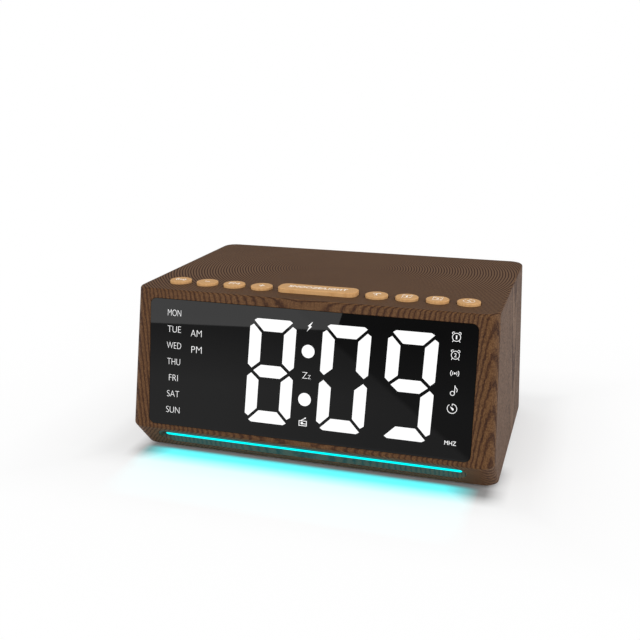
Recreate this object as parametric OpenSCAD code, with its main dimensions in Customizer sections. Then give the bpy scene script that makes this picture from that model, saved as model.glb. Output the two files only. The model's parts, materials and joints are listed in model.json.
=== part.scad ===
// Digital alarm clock: a tapered wood-look case with a leaning display, a light bar under it,
// eight round keys and a snooze bar on top, and a charging coil below the lid.
// Millimetres. X to the right seen from the front, Y to the back, Z up.
// The origin is on the table below the middle of the case.

/* [Case] */
// Width of the case across its top
top_w = 180; // [174:1:190]
// Width that the two sides together gain from top to base
side_draft = 5.6; // [0:0.2:8]
// Depth of the case from the front fold to the foot of its back
base_d = 131.6; // [126:0.2:145]
// Amount by which the back leans in from base to top
back_draft = 2.8; // [0:0.1:4]
// Height of the case without its feet
body_h = 86; // [82:1:96]
// Height and run of the bevel below the front
bevel = 15.8; // [14.6:0.2:17]
// Backward lean of the front in degrees
lean = 8; // [6:0.5:10]
// Radius of the upright corners
corner_r = 7.5; // [6:0.5:9]
// Radius round the edge of the top
edge_r = 1.25; // [0.75:0.25:2]
// Thickness of the sides, back and top
wall = 3; // [2.6:0.1:3.4]
// Thickness of the front and of the bevel
front_wall = 4.2; // [4:0.1:4.6]
// Height of the rubber feet below the case
foot_h = 2; // [1:0.5:4]

/* [Display] */
// Width of the frame left and right of the lens
frame_side = 8.65; // [7:0.05:10]
// Width of the frame above the lens
frame_top = 4.7; // [4:0.1:7]
// Width of the frame between the lens and the fold
frame_low = 2.3; // [2:0.1:4]
// Corner radius of the lens
lens_r = 3; // [1:0.5:5]
// Thickness of the lens
lens_t = 2.2; // [1.6:0.1:2.4]
// Width of one digit
digit_w = 23.5; // [20:0.5:25]
// Clear height above and below the digits inside the lens
digit_margin = 6.3; // [4:0.1:9]
// Thickness of the bars of a digit
bar_t = 6; // [4:0.1:7]
// Sideways lean of the digits in degrees
slant = 2.1; // [0:0.1:5]
// Distance between the two minute digits
digit_pitch = 31.5; // [29:0.1:33]
// Distance between the hour digit and the first minute digit
colon_pitch = 36.7; // [35:0.1:38]
// Distance from the right end of the lens to the middle of the last digit
digit_end = 30.15; // [26:0.05:34]
// Radius of the two dots
dot_r = 3.2; // [2:0.1:3.8]
// Distance between the two dots
dot_pitch = 23.5; // [16:0.5:28]

/* [Light bar] */
// Distance of the recess in the bevel from the ends of the top
recess_end = 10.8; // [8:0.2:30]
// Height of the recess along the bevel
recess_w = 14; // [10:0.5:15]
// Depth of the recess
recess_t = 2; // [0.6:0.1:3.3]
// Distance of the light bar from the ends of the recess
light_end = 2.4; // [1.8:0.1:20]
// Thickness of the light bar
light_w = 2.8; // [1.6:0.2:3.2]

/* [Keys] */
// Diameter of a round key
key_d = 11; // [9:0.2:11.6]
// Distance between neighbouring round keys
key_pitch = 14.7; // [14.4:0.05:15]
// Distance of the outer round keys from the ends of the top
key_end = 16.5; // [15:0.05:20]
// Sideways place of the middle of the row
row_x = 0.5; // [-1:0.5:2]
// Distance of the row from the front edge of the top
key_inset = 16.8; // [13.8:0.1:18]
// Height of the round keys above the top
key_proud = 1.3; // [1:0.1:3]
// Height of the snooze bar above the top
snooze_proud = 2.1; // [1:0.1:3]
// Travel of a key
key_travel = 0.6; // [0.3:0.1:0.8]
// Gap round a key in its opening
key_gap = 0.3; // [0.3:0.05:0.5]
// Space between the snooze bar and the round keys beside it
snooze_space = 3.9; // [2.6:0.1:6]

/* [Charger and speaker] */
// Outer diameter of the charging coil
coil_d = 50; // [40:1:52]
// Distance of the coil behind the middle of the case
coil_y = 14; // [8:1:18]
// Diameter of the speaker
speaker_d = 50; // [40:1:52]
// Diameter of the battery cap
cap_d = 26; // [24:0.5:30]

/* [Hidden] */
$fn = 48;
eps = 0.01;
// Clearances between pieces: fixed ones, and those that turn or slide
fit = 0.3;
turn_gap = 0.3;
// Levels and planes of the case
top_z = foot_h + body_h;
fold_z = foot_h + bevel;
fold_y = -base_d / 2;
lid_z = top_z - wall;
side_slope = side_draft / 2 / body_h;
back_slope = back_draft / body_h;
front_in = front_wall / cos(lean);
bevel_in = front_wall * sqrt(2);
inner_fold_z = fold_z + (bevel_in - front_in) / (1 + tan(lean));
inner_r = corner_r - wall;
// Small screws, the bores that take them and the holes that they pass
small_d = 1.9;
small_bore = 2;
small_pass = 2.4;
small_head_d = 4;
small_head_t = 1.4;
small_l = 6;
// Lens and the window behind it, measured up the front from the fold
face_l = (body_h - bevel) / cos(lean);
lens_w = top_w - 2 * frame_side;
lens_h = face_l - frame_top - frame_low;
lens_s = frame_low + lens_h / 2;
lens_recess = 0.2;
lens_back = lens_recess + lens_t;
lip = 3;
lip_low = 4.4;
window_w = lens_w - 2 * lip;
window_h = lens_h - lip - lip_low;
window_s = frame_low + lip_low + window_h / 2;
reflector_t = 2.5;
reflector_rim = 1;
board_t = 1.6;
display_back = front_wall + reflector_t;
display_boss_d = 4.4;
display_boss_x = lens_w / 2 + fit + display_boss_d / 2;
display_screw_l = 3.7;
display_boss_in = 4;
display_boss_s = window_h / 2 - display_boss_in;
// Digits: bar ends follow the 45 degree mitres of a seven-segment figure
digit_h = lens_h - 2 * digit_margin;
digit_raise = 0.6;
digit_s = lens_s + digit_raise;
minute_x = lens_w / 2 - digit_end - digit_pitch;
dots_x = minute_x - colon_pitch / 2;
mitre = 1.06;
tip = 0.95;
nib = 1.5;
// Light bar, measured down the bevel from the fold
recess_l = top_w - 2 * recess_end;
light_l = recess_l - 2 * light_end;
recess_s = -10;
recess_rim = 0.2;
light_s = -11.6;
light_proud = 0.1;
light_rim = 1.3;
flange_t = 1.5;
strip_t = 1.2;
// Keys and their switches
row_y = fold_y + (top_z - fold_z) * tan(lean) + key_inset;
key_start = top_w / 2 - key_end - 3 * key_pitch;
snooze_w = 2 * (key_start - key_d / 2 - snooze_space);
snooze_r = 4;
// Small round along the upper edge of a key, and the flange and boss below it
key_edge = 0.5;
flange_w = 1;
key_flange_t = 1.2;
key_boss_t = 1.2;
key_boss_d = 5;
switch_play = 0.8;
flange_gap = 0.2;
key_flange_z = lid_z - flange_gap - key_flange_t;
key_boss_z = key_flange_z - key_boss_t;
switch_w = 6;
switch_top = key_boss_z - key_travel - switch_play;
switch_h = 3.5;
key_board_z = switch_top - switch_h;
stem_well = 1;
stem_z = switch_top - stem_well;
stem_d = 3.2;
key_board_end = 7;
key_board_w = 2 * (key_start + 3 * key_pitch + key_board_end);
key_board_rim = 4.7;
key_board_front = row_y - key_board_rim;
key_board_d = 16.8;
pillar_d = 5;
pillar_back = 9.5;
pillar_out = 1.85;
pillar_in = 5.2;
pillar_y = row_y + pillar_back;
pillar_end = key_start + 3 * key_pitch + pillar_out;
pillar_start = key_start - pillar_in;
PILLAR_X = [-pillar_end, -pillar_start, pillar_start, pillar_end];
KEY_SIDE = [for (i = [0 : 3]) key_start + i * key_pitch];
KEY_X = concat([for (i = [3 : -1 : 0]) row_x - KEY_SIDE[i]], [for (i = [0 : 3]) row_x + KEY_SIDE[i]]);
// Charger below the lid
coil_t = 2;
ferrite_t = 1.5;
bracket_t = 2;
bracket_w = 72;
bracket_z = lid_z - coil_t - ferrite_t - bracket_t;
bracket_hole_in = 5;
bracket_hole = bracket_w / 2 - bracket_hole_in;
bracket_boss_d = 6;
bracket_screw_l = 4.5;
coil_bore = 20;
ferrite_rim = 1;
charge_w = 50;
charge_d = 40;
// Base and posts
base_t = 3;
base_z = foot_h + base_t;
post_d = 8;
post_in = 3.5;
post_x = top_w / 2 - wall - post_in;
post_front = 43.8;
post_rear = 28;
POST_Y = [fold_y + post_front, base_d / 2 - post_rear];
screw_d = 2.6;
screw_l = 12;
screw_head_d = 5.4;
screw_head_t = 1.4;
screw_sunk = 0.3;
foot_d = 12;
foot_well = 1;
foot_edge = 0.6;
foot_in = 14;
foot_front = 9;
foot_rear = 15;
foot_x = top_w / 2 - foot_in;
FOOT_Y = [fold_y + bevel + bevel_in + foot_front, base_d / 2 - foot_rear];
// Main board on four standoffs, beside the right posts and clear of the back
main_w = 96;
main_d = 64;
main_side = 4;
main_rear = 6.2;
standoff_h = 6;
standoff_d = 6;
main_z = base_z + standoff_h;
main_x = post_x - post_d / 2 - main_side - main_w / 2;
main_y = base_d / 2 - back_slope * (main_z - foot_h) - wall - main_rear - main_d / 2;
main_hole_in = 5;
main_hole_x = main_w / 2 - main_hole_in;
main_hole_y = main_d / 2 - main_hole_in;
main_screw_d = 2.2;
main_screw_l = 5;
main_head_d = 4.6;
main_head_t = 1.6;
// Chips, capacitors and ribbon sockets on the main board
chip_w = 14;
chip_t = 1.8;
memory_w = 9;
memory_d = 12;
memory_x = 16;
can_d = 8;
can_h = 11;
can_pitch = 11;
can_x = 30;
can_y = 14;
socket_w = 24;
socket_d = 6;
socket_h = 4;
socket_in = 2;
display_socket_x = -22;
key_socket_x = 12;
// Flat ribbons: thickness, widths, and the slack that they hang by
ribbon_t = 0.6;
display_ribbon_w = 20;
key_ribbon_w = 16;
slack = 4;
key_ribbon_in = 5;
// Rear panel, measured up the back from its foot
panel_end = 24;
panel_w = top_w - 2 * panel_end;
panel_h = 64;
panel_s = 38;
panel_r = 4;
panel_t = 1.5;
panel_sunk = 0.1;
panel_back = panel_t + panel_sunk;
panel_rim_x = 10;
panel_rim_y = 4;
panel_boss_d = 6;
panel_hole_x = panel_w / 2 - panel_rim_x / 2;
panel_hole_in = 7;
panel_hole_y = panel_h / 2 - panel_hole_in;
panel_screw_l = 3;
panel_head_d = 4.6;
panel_head_t = 0.8;
// Speaker, its slots, and the power inlet beside it
speaker_end = 39;
speaker_x = panel_w / 2 - speaker_end;
gasket_t = 1;
rim_w = 4;
rim_t = 1.5;
basket_h = 14;
basket_foot_d = 32;
basket_bore = 10;
cone_t = 1;
cone_in = 7;
cone_clear = 2.5;
dust_in = 3;
magnet_d = 30;
magnet_t = 10;
grille_rim = 5;
slot_w = 2.6;
jack_end = 26;
jack_x = jack_end - panel_w / 2;
jack_mouth = 8.4;
jack_bore = 6;
jack_pin = 2;
jack_w = 10;
jack_h = 11;
jack_d = 12;
// Coin cell, its holder and its quarter-turn cap
cell_end = 30;
cell_x = cell_end - top_w / 2;
cell_y = 6;
cell_d = 20;
cell_t = 3.2;
lug_t = 1.2;
lug_w = 7;
lug_out = 1.5;
lug_l = cap_d + 2 * lug_out;
holder_wall = 3;
holder_d = lug_l + 2 * holder_wall;
holder_lid = 1.5;
coin_l = 16;
coin_w = 2;
coin_deep = 1.2;
cap_sunk = 0.2;
lug_z = base_z + turn_gap;
cell_z = lug_z + lug_t + turn_gap;
cap_open = 60;
// Colours
wood = [0.27, 0.16, 0.09];
tan_wood = [0.85, 0.64, 0.40];
black = [0.05, 0.05, 0.055];
white = [0.96, 0.96, 0.96];
board_green = [0.07, 0.30, 0.16];
steel = [0.70, 0.71, 0.73];

// Half the width of the case at a height
function half_w(z) = top_w / 2 + side_slope * (top_z - z);
// Back of the case at a height
function rear_y(z) = base_d / 2 - back_slope * (z - foot_h);
// Front of the case at a height: the leaning front above the fold, the bevel below it
function front_y(z) = fold_y + (z >= fold_z ? (z - fold_z) * tan(lean) : fold_z - z);

// Places children on the front: X across, Y up the front from the fold, Z outwards
module on_front() {
    translate([0, fold_y, fold_z])
        rotate([90 - lean, 0, 0])
            children();
}

// Places children on the bevel: X across, Y up towards the fold, Z outwards
module on_bevel() {
    translate([0, fold_y, fold_z])
        rotate([135, 0, 0])
            children();
}

// Places children on the back: X to the right seen from behind, Y up from the foot, Z outwards
module on_back() {
    translate([0, base_d / 2, foot_h])
        rotate([0, 0, 180])
            rotate([90 - atan(back_slope), 0, 0])
                children();
}

// A flat outline with four equal round corners, about the origin
module round_rect(w, h, r) {
    square([w - 2 * r, h], center = true);
    square([w, h - 2 * r], center = true);
    for (x = [-1, 1])
        for (y = [-1, 1])
            translate([x * (w / 2 - r), y * (h / 2 - r)])
                circle(r = r);
}

// A plate with round corners from height z up to z + t
module plate(w, h, r, z, t) {
    translate([0, 0, z])
        linear_extrude(t)
            round_rect(w, h, r);
}

// A cylinder from height z up to z + h
module rod(d, z, h) {
    translate([0, 0, z])
        cylinder(d = d, h = h);
}

// Four thin discs at the corners of the case at one height
module corner_discs(z, hw, y0, y1, r) {
    for (x = [-1, 1])
        for (y = [y0 + r, y1 - r])
            translate([x * (hw - r), y, z])
                cylinder(r = r, h = eps, $fn = 32);
}

// One disc level of the outer case, drawn in by k at the round top edge
module case_level(z, k) {
    corner_discs(z, half_w(z) - k, front_y(z) + k, rear_y(z) - k, corner_r - k);
}

// One disc level of the hollow, with the front wall at y0
module hollow_level(z, y0) {
    corner_discs(z, half_w(z) - wall, y0, rear_y(z) - wall, inner_r);
}

// The outer case as one solid block
module case_block() {
    hull() {
        case_level(foot_h, 0);
        case_level(fold_z, 0);
        for (a = [0 : 15 : 90])
            case_level(top_z - eps - edge_r * (1 - sin(a)), edge_r * (1 - cos(a)));
    }
}

// The hollow inside the case, open below
module case_hollow() {
    low = foot_h - 1;
    hull() {
        hollow_level(low, fold_y + bevel_in + fold_z - low);
        hollow_level(inner_fold_z, fold_y + front_in + (inner_fold_z - fold_z) * tan(lean));
        hollow_level(lid_z - eps, fold_y + front_in + (lid_z - fold_z) * tan(lean));
    }
}

// Posts, ribs and bosses that the case carries inside
module case_posts() {
    for (x = [-1, 1])
        for (y = POST_Y) {
            translate([x * post_x, y, 0])
                rod(post_d, base_z, lid_z + 1 - base_z);
            translate([x > 0 ? post_x : -half_w(lid_z) + 1, y - 1, base_z + 4])
                cube([half_w(lid_z) - 1 - post_x, 2, lid_z - base_z - 3]);
        }
    for (x = PILLAR_X)
        translate([row_x + x, pillar_y, 0])
            rod(pillar_d, key_board_z, lid_z + 1 - key_board_z);
    for (x = [-1, 1])
        for (y = [-1, 1])
            translate([x * bracket_hole, coil_y + y * bracket_hole, 0])
                rod(bracket_boss_d, bracket_z + bracket_t, lid_z + 1 - bracket_z - bracket_t);
    on_front()
        display_corners()
            rod(display_boss_d, -display_back, reflector_t + 1);
    on_back()
        panel_corners()
            rod(panel_boss_d, -wall - panel_screw_l - 2, panel_screw_l + 3);
}

// Blind holes for every screw that the case takes
module case_bores() {
    for (x = [-1, 1])
        for (y = POST_Y)
            translate([x * post_x, y, 0])
                rod(screw_d, base_z - 1, screw_l + 2);
    for (x = PILLAR_X)
        translate([row_x + x, pillar_y, 0])
            rod(small_bore, key_board_z - 1, small_l);
    for (x = [-1, 1])
        for (y = [-1, 1])
            translate([x * bracket_hole, coil_y + y * bracket_hole, 0])
                rod(small_bore, bracket_z, lid_z - bracket_z);
    on_front()
        display_corners()
            rod(small_bore, -display_back - 1, display_screw_l);
    on_back()
        panel_corners()
            rod(small_bore, -wall - panel_screw_l - 1, wall + panel_screw_l + 2);
}

// The four screw places of the display board
module display_corners() {
    for (x = [-1, 1])
        for (y = [-1, 1])
            translate([x * display_boss_x, window_s + y * display_boss_s, 0])
                children();
}

// The four screw places of the rear panel
module panel_corners() {
    for (x = [-1, 1])
        for (y = [-1, 1])
            translate([x * panel_hole_x, panel_s + y * panel_hole_y, 0])
                children();
}

// The recess of the light bar: a trough along the bevel with sloping sides and round ends
module light_trough() {
    floor_w = light_w + 2 * recess_rim;
    high = recess_s + recess_w / 2;
    low = recess_s - recess_w / 2;
    intersection() {
        translate([0, recess_s, 0])
            plate(recess_l, recess_w, recess_w / 2 - eps, -recess_t - 1, recess_t + 2);
        translate([-recess_l / 2, 0, 0])
            rotate([90, 0, 90])
                linear_extrude(recess_l)
                    polygon([
                        [high, 1], [high, 0], [light_s + floor_w / 2, -recess_t],
                        [light_s - floor_w / 2, -recess_t], [low, 0], [low, 1]
                    ]);
    }
}

// The wood-look case: one moulded shell, open below
module cabinet() {
    color(wood)
        difference() {
            union() {
                difference() {
                    case_block();
                    case_hollow();
                }
                case_posts();
            }
            case_bores();
            on_front() {
                translate([0, lens_s, 0])
                    plate(lens_w + fit, lens_h + fit, lens_r + fit / 2, -lens_back, lens_back + 1);
                translate([0, window_s, 0])
                    plate(window_w, window_h, lens_r, -front_wall - 1, front_wall + 1);
            }
            on_bevel() {
                light_trough();
                translate([0, light_s, 0])
                    plate(light_l + fit, light_w + fit, light_w / 2, -front_wall - 1, front_wall + 1);
            }
            for (x = KEY_X)
                translate([x, row_y, 0])
                    rod(key_d + 2 * key_gap, lid_z - 1, wall + 2);
            translate([row_x, row_y, 0])
                plate(snooze_w + 2 * key_gap, key_d + 2 * key_gap, snooze_r + key_gap, lid_z - 1, wall + 2);
            on_back()
                translate([0, panel_s, 0]) {
                    plate(panel_w + fit, panel_h + fit, panel_r, -panel_back, panel_back + 1);
                    plate(panel_w - 2 * panel_rim_x, panel_h - 2 * panel_rim_y, panel_r, -wall - 1, wall + 1);
                }
        }
}

// Corners of one bar of a digit, unslanted, with the digit's lower left at the origin
m_y = digit_h / 2;
BAR_TOP = [
    [mitre + tip, digit_h - tip], [mitre + tip + nib, digit_h],
    [digit_w - mitre - tip - nib, digit_h], [digit_w - mitre - tip, digit_h - tip],
    [digit_w - bar_t - mitre, digit_h - bar_t], [bar_t + mitre, digit_h - bar_t]
];
BAR_SIDE = [
    [0, m_y + bar_t / 2], [bar_t / 3, m_y + tip + 0.25],
    [bar_t, m_y + bar_t * 0.77], [bar_t, digit_h - bar_t - mitre],
    [nib + 0.3, digit_h - nib - 0.3 - mitre], [0, digit_h - 2 * nib - mitre]
];
BAR_MIDDLE = [
    [bar_t / 2, m_y], [bar_t + 0.7, m_y + bar_t / 2], [digit_w - bar_t - 0.7, m_y + bar_t / 2],
    [digit_w - bar_t / 2, m_y], [digit_w - bar_t - 0.7, m_y - bar_t / 2], [bar_t + 0.7, m_y - bar_t / 2]
];
function across(p) = [for (q = p) [digit_w - q[0], q[1]]];
function over(p) = [for (q = p) [q[0], digit_h - q[1]]];
// Bars in the usual order a to g
BARS = [
    BAR_TOP, across(BAR_SIDE), over(across(BAR_SIDE)), over(BAR_TOP), over(BAR_SIDE), BAR_SIDE, BAR_MIDDLE
];
// Lit bars of the digits 0, 8 and 9
ZERO = [0, 1, 2, 3, 4, 5];
EIGHT = [0, 1, 2, 3, 4, 5, 6];
NINE = [0, 1, 2, 3, 5, 6];
function lean_over(p) = [for (q = p) [q[0] - digit_w / 2 + (q[1] - m_y) * tan(slant), q[1] - m_y]];

// The lit bars of one digit about its middle, from depth z over a thickness t
module digit(lit, x, z, t) {
    on_front()
        translate([x, digit_s, z])
            for (i = lit)
                linear_extrude(t)
                    polygon(lean_over(BARS[i]));
}

// The two dots between hours and minutes
module dots(z, t) {
    on_front()
        for (y = [-1, 1])
            translate([dots_x + y * dot_pitch / 2 * tan(slant), digit_s + y * dot_pitch / 2, 0])
                rod(2 * dot_r, z, t);
}

// Glossy black lens with clear windows for the lit bars
module display_lens() {
    color(black)
        difference() {
            on_front()
                translate([0, lens_s, 0])
                    plate(lens_w, lens_h, lens_r, -lens_back, lens_t);
            digit(EIGHT, minute_x - colon_pitch, -lens_back - 1, lens_t + 2);
            digit(ZERO, minute_x, -lens_back - 1, lens_t + 2);
            digit(NINE, minute_x + digit_pitch, -lens_back - 1, lens_t + 2);
            dots(-lens_back - 1, lens_t + 2);
        }
}

// Lit bars of the hour digit
module hour_segments() {
    color(white)
        digit(EIGHT, minute_x - colon_pitch, -lens_back, lens_t);
}

// Lit bars of the first minute digit
module minute_tens_segments() {
    color(white)
        digit(ZERO, minute_x, -lens_back, lens_t);
}

// Lit bars of the second minute digit
module minute_units_segments() {
    color(white)
        digit(NINE, minute_x + digit_pitch, -lens_back, lens_t);
}

// Lit dots between hours and minutes
module colon_dots() {
    color(white)
        dots(-lens_back, lens_t);
}

// White reflector that stands in the window behind the lens
module display_reflector() {
    window_t = front_wall - lens_back;
    rim = 2 * reflector_rim;
    color(white)
        on_front()
            translate([0, window_s, 0]) {
                plate(window_w - 2 * fit, window_h - 2 * fit, lens_r - fit, -front_wall, window_t);
                plate(window_w + rim, window_h + rim, lens_r, -display_back, reflector_t);
            }
}

// Circuit board of the display
module display_board() {
    board_back = -display_back - board_t;
    color(board_green)
        on_front()
            difference() {
                translate([0, window_s, 0])
                    plate(2 * display_boss_x + display_boss_d, window_h + 1, 1, board_back, board_t);
                display_corners()
                    rod(small_pass, board_back - 1, board_t + 2);
            }
}

// Four screws that hold the display board to the case
module display_screws() {
    color(steel)
        on_front()
            display_corners() {
                rod(small_head_d, -display_back - board_t - small_head_t, small_head_t);
                rod(small_d, -display_back - board_t - small_head_t / 2, display_screw_l + small_head_t / 2);
            }
}

// Clear bar that carries the light along the bevel
module light_bar() {
    low = -front_wall - flange_t / 2;
    rim = 2 * light_rim;
    color([0.3, 1, 1])
        on_bevel()
            translate([0, light_s, 0]) {
                plate(light_l, light_w, light_w / 2 - eps, low, light_proud - recess_t - low);
                plate(light_l + rim, light_w + rim, light_rim, -front_wall - flange_t, flange_t);
            }
}

// Strip board with the light sources, behind the light bar
module light_strip_board() {
    rim = 2 * light_rim;
    color(board_green)
        on_bevel()
            translate([0, light_s, -front_wall - flange_t - strip_t])
                plate(light_l + rim, light_w + rim, light_rim / 2, 0, strip_t);
}

// One round key: cap, flange below the lid and a short boss for its switch
module round_key(x) {
    r = key_d / 2;
    z = top_z + key_proud - key_edge;
    rim = [for (a = [0 : 22.5 : 90]) [r - key_edge * (1 - cos(a)), z + key_edge * sin(a)]];
    lip_z = key_flange_z + key_flange_t;
    boss = [[0, key_boss_z], [key_boss_d / 2, key_boss_z], [key_boss_d / 2, key_flange_z]];
    flange = [[r + flange_w, key_flange_z], [r + flange_w, lip_z], [r, lip_z]];
    color(tan_wood)
        translate([x, row_y, 0])
            rotate_extrude()
                polygon(concat(boss, flange, rim, [[0, z + key_edge]]));
}

// The long snooze bar with the same stack
module snooze_bar() {
    rim = 2 * flange_w;
    color(tan_wood)
        translate([row_x, row_y, 0]) {
            plate(snooze_w, key_d, snooze_r, key_flange_z, top_z + snooze_proud - key_edge - key_flange_z);
            for (a = [0 : 30 : 60]) {
                k = key_edge * (1 - cos(a + 30));
                z = top_z + snooze_proud - key_edge * (1 - sin(a));
                plate(snooze_w - 2 * k, key_d - 2 * k, snooze_r - k, z, key_edge * (sin(a + 30) - sin(a)));
            }
            plate(snooze_w + rim, key_d + rim, snooze_r + flange_w, key_flange_z, key_flange_t);
            rod(key_boss_d, key_boss_z, key_boss_t + key_flange_t / 2);
        }
}

// The moving stem of one switch, which rides with its key
module switch_stem(x) {
    color(black)
        translate([x, row_y, 0])
            rod(stem_d, stem_z, key_boss_z - stem_z);
}

// Nine switch housings, each with the well of its stem
module tact_switches() {
    color([0.16, 0.16, 0.17])
        for (x = concat(KEY_X, [row_x]))
            translate([x, row_y, 0])
                difference() {
                    translate([-switch_w / 2, -switch_w / 2, key_board_z])
                        cube([switch_w, switch_w, switch_h]);
                    rod(stem_d + 2 * turn_gap, stem_z - key_travel - turn_gap, switch_h);
                }
}

// Circuit board below the keys
module key_board() {
    color(board_green)
        difference() {
            translate([row_x - key_board_w / 2, key_board_front, key_board_z - board_t])
                cube([key_board_w, key_board_d, board_t]);
            for (x = PILLAR_X)
                translate([row_x + x, pillar_y, 0])
                    rod(small_pass, key_board_z - board_t - 1, board_t + 2);
        }
}

// Four screws that hold the key board up to the lid
module key_board_screws() {
    color(steel)
        for (x = PILLAR_X)
            translate([row_x + x, pillar_y, 0]) {
                rod(small_head_d, key_board_z - board_t - small_head_t, small_head_t);
                rod(small_d, key_board_z - board_t - small_head_t / 2, small_l);
            }
}

// Flat charging coil against the underside of the lid
module charging_coil() {
    color([0.72, 0.43, 0.20])
        translate([0, coil_y, 0])
            difference() {
                rod(coil_d, lid_z - coil_t, coil_t);
                rod(coil_bore, lid_z - coil_t - 1, coil_t + 2);
            }
}

// Ferrite sheet below the coil
module ferrite_plate() {
    color([0.13, 0.13, 0.14])
        translate([0, coil_y, 0])
            plate(coil_d + 2 * ferrite_rim, coil_d + 2 * ferrite_rim, 2, lid_z - coil_t - ferrite_t, ferrite_t);
}

// Bracket that presses coil and ferrite against the lid
module coil_bracket() {
    color([0.9, 0.9, 0.88])
        translate([0, coil_y, 0])
            difference() {
                plate(bracket_w, bracket_w, 4, bracket_z, bracket_t);
                for (x = [-1, 1])
                    for (y = [-1, 1])
                        translate([x * bracket_hole, y * bracket_hole, 0])
                            rod(small_pass, bracket_z - 1, bracket_t + 2);
            }
}

// Four screws of the coil bracket
module coil_screws() {
    color(steel)
        for (x = [-1, 1])
            for (y = [-1, 1])
                translate([x * bracket_hole, coil_y + y * bracket_hole, 0]) {
                    rod(small_head_d, bracket_z - small_head_t, small_head_t);
                    rod(small_d, bracket_z - small_head_t / 2, bracket_screw_l + small_head_t / 2);
                }
}

// Charging electronics below the bracket
module charging_board() {
    color(board_green)
        translate([0, coil_y, 0])
            plate(charge_w, charge_d, 1, bracket_z - board_t, board_t);
}

// Places children at the four screw holes of the main board
module main_corners() {
    for (x = [-1, 1])
        for (y = [-1, 1])
            translate([main_x + x * main_hole_x, main_y + y * main_hole_y, 0])
                children();
}

// Main circuit board
module main_board() {
    color(board_green)
        difference() {
            translate([main_x, main_y, 0])
                plate(main_w, main_d, 2, main_z, board_t);
            main_corners()
                rod(main_screw_d + 2 * fit, main_z - 1, board_t + 2);
        }
}

// Chips, capacitors and ribbon sockets on the main board
module main_board_components() {
    z = main_z + board_t;
    color([0.12, 0.12, 0.13]) {
        translate([main_x - chip_w / 2, main_y - chip_w / 2, z])
            cube([chip_w, chip_w, chip_t]);
        translate([main_x + memory_x, main_y, z])
            cube([memory_w, memory_d, chip_t]);
        for (i = [0 : 2])
            translate([main_x - can_x + can_pitch * i, main_y + can_y, 0])
                rod(can_d, z, can_h);
        for (x = [display_socket_x, key_socket_x])
            translate([main_x + x - socket_w / 2, main_y - main_d / 2 + socket_in, z])
                cube([socket_w, socket_d, socket_h]);
    }
}

// Four screws of the main board
module main_board_screws() {
    color(steel)
        main_corners() {
            rod(main_head_d, main_z + board_t, main_head_t);
            rod(main_screw_d, main_z - main_screw_l + 1, board_t + main_screw_l);
        }
}

// Outline of a flat ribbon of thickness t that follows points p
function ribbon(p, t) = let(
    n = len(p) - 1,
    side = [for (i = [0 : n]) let(d = p[min(i + 1, n)] - p[max(i - 1, 0)]) [-d[1], d[0]] / norm(d) * t / 2]
) concat([for (i = [0 : n]) p[i] + side[i]], [for (i = [n : -1 : 0]) p[i] - side[i]]);

// A ribbon of width w about x that follows points p in the plane of Y and Z
module ribbon_strip(x, w, p) {
    color([0.75, 0.76, 0.78])
        translate([x - w / 2, 0, 0])
            rotate([90, 0, 90])
                linear_extrude(w)
                    polygon(ribbon(p, ribbon_t));
}

// Upper side of a ribbon socket on the main board
socket_z = main_z + board_t + socket_h;
socket_y = main_y - main_d / 2 + socket_in + socket_d / 2;
// Where the display ribbon leaves its board
ribbon_s = window_s - window_h / 4;
ribbon_y = fold_y + ribbon_s * sin(lean) + (display_back + board_t) * cos(lean);
ribbon_z = fold_z + ribbon_s * cos(lean) - (display_back + board_t) * sin(lean);

// Ribbon from the display board to the main board
module display_ribbon() {
    z = socket_z + ribbon_t / 2;
    ribbon_strip(main_x + display_socket_x, display_ribbon_w, [
        [ribbon_y + ribbon_t / 6, ribbon_z], [ribbon_y + 2 * slack, ribbon_z - slack],
        [ribbon_y + 4.5 * slack, z + 1.5 * slack], [socket_y - 3 * slack, z + slack / 2],
        [socket_y - slack, z], [socket_y, z]
    ]);
}

// Ribbon from the key board to the main board
module key_ribbon() {
    y = key_board_front + key_board_d - key_ribbon_in;
    z = key_board_z - board_t;
    low = socket_z + ribbon_t / 2;
    ribbon_strip(main_x + key_socket_x, key_ribbon_w, [
        [y, z], [y, z - 3 * slack], [y + slack, (z + low) / 2 + 2 * slack],
        [socket_y - 3.5 * slack, low + 2.5 * slack], [socket_y - slack, low + slack / 4], [socket_y, low]
    ]);
}

// Base plate between the walls, with standoffs, foot wells and the battery opening
module base_plate() {
    y0 = front_y(foot_h) + bevel_in + fit;
    y1 = rear_y(base_z) - wall - fit;
    w = 2 * (half_w(base_z) - wall - fit);
    color([0.09, 0.08, 0.075])
        difference() {
            union() {
                translate([0, (y0 + y1) / 2, 0])
                    plate(w, y1 - y0, inner_r, foot_h, base_t);
                main_corners()
                    rod(standoff_d, base_z - 1, standoff_h + 1);
            }
            main_corners()
                rod(main_screw_d, main_z - main_screw_l - 1, main_screw_l + 3);
            for (x = [-1, 1]) {
                for (y = POST_Y)
                    translate([x * post_x, y, 0]) {
                        rod(screw_d + 2 * fit, foot_h - 1, base_t + 2);
                        rod(screw_head_d + 2 * fit, foot_h - 1, 1 + screw_sunk + screw_head_t);
                    }
                for (y = FOOT_Y)
                    translate([x * foot_x, y, 0])
                        rod(foot_d + fit, foot_h - 1, 1 + foot_well);
            }
            translate([cell_x, cell_y, 0]) {
                rod(cap_d + 2 * turn_gap, foot_h - 1, base_t + 2);
                rotate([0, 0, cap_open])
                    translate([-lug_l / 2 - turn_gap, -lug_w / 2 - turn_gap, foot_h - 1])
                        cube([lug_l + 2 * turn_gap, lug_w + 2 * turn_gap, base_t + 2]);
            }
        }
}

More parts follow.
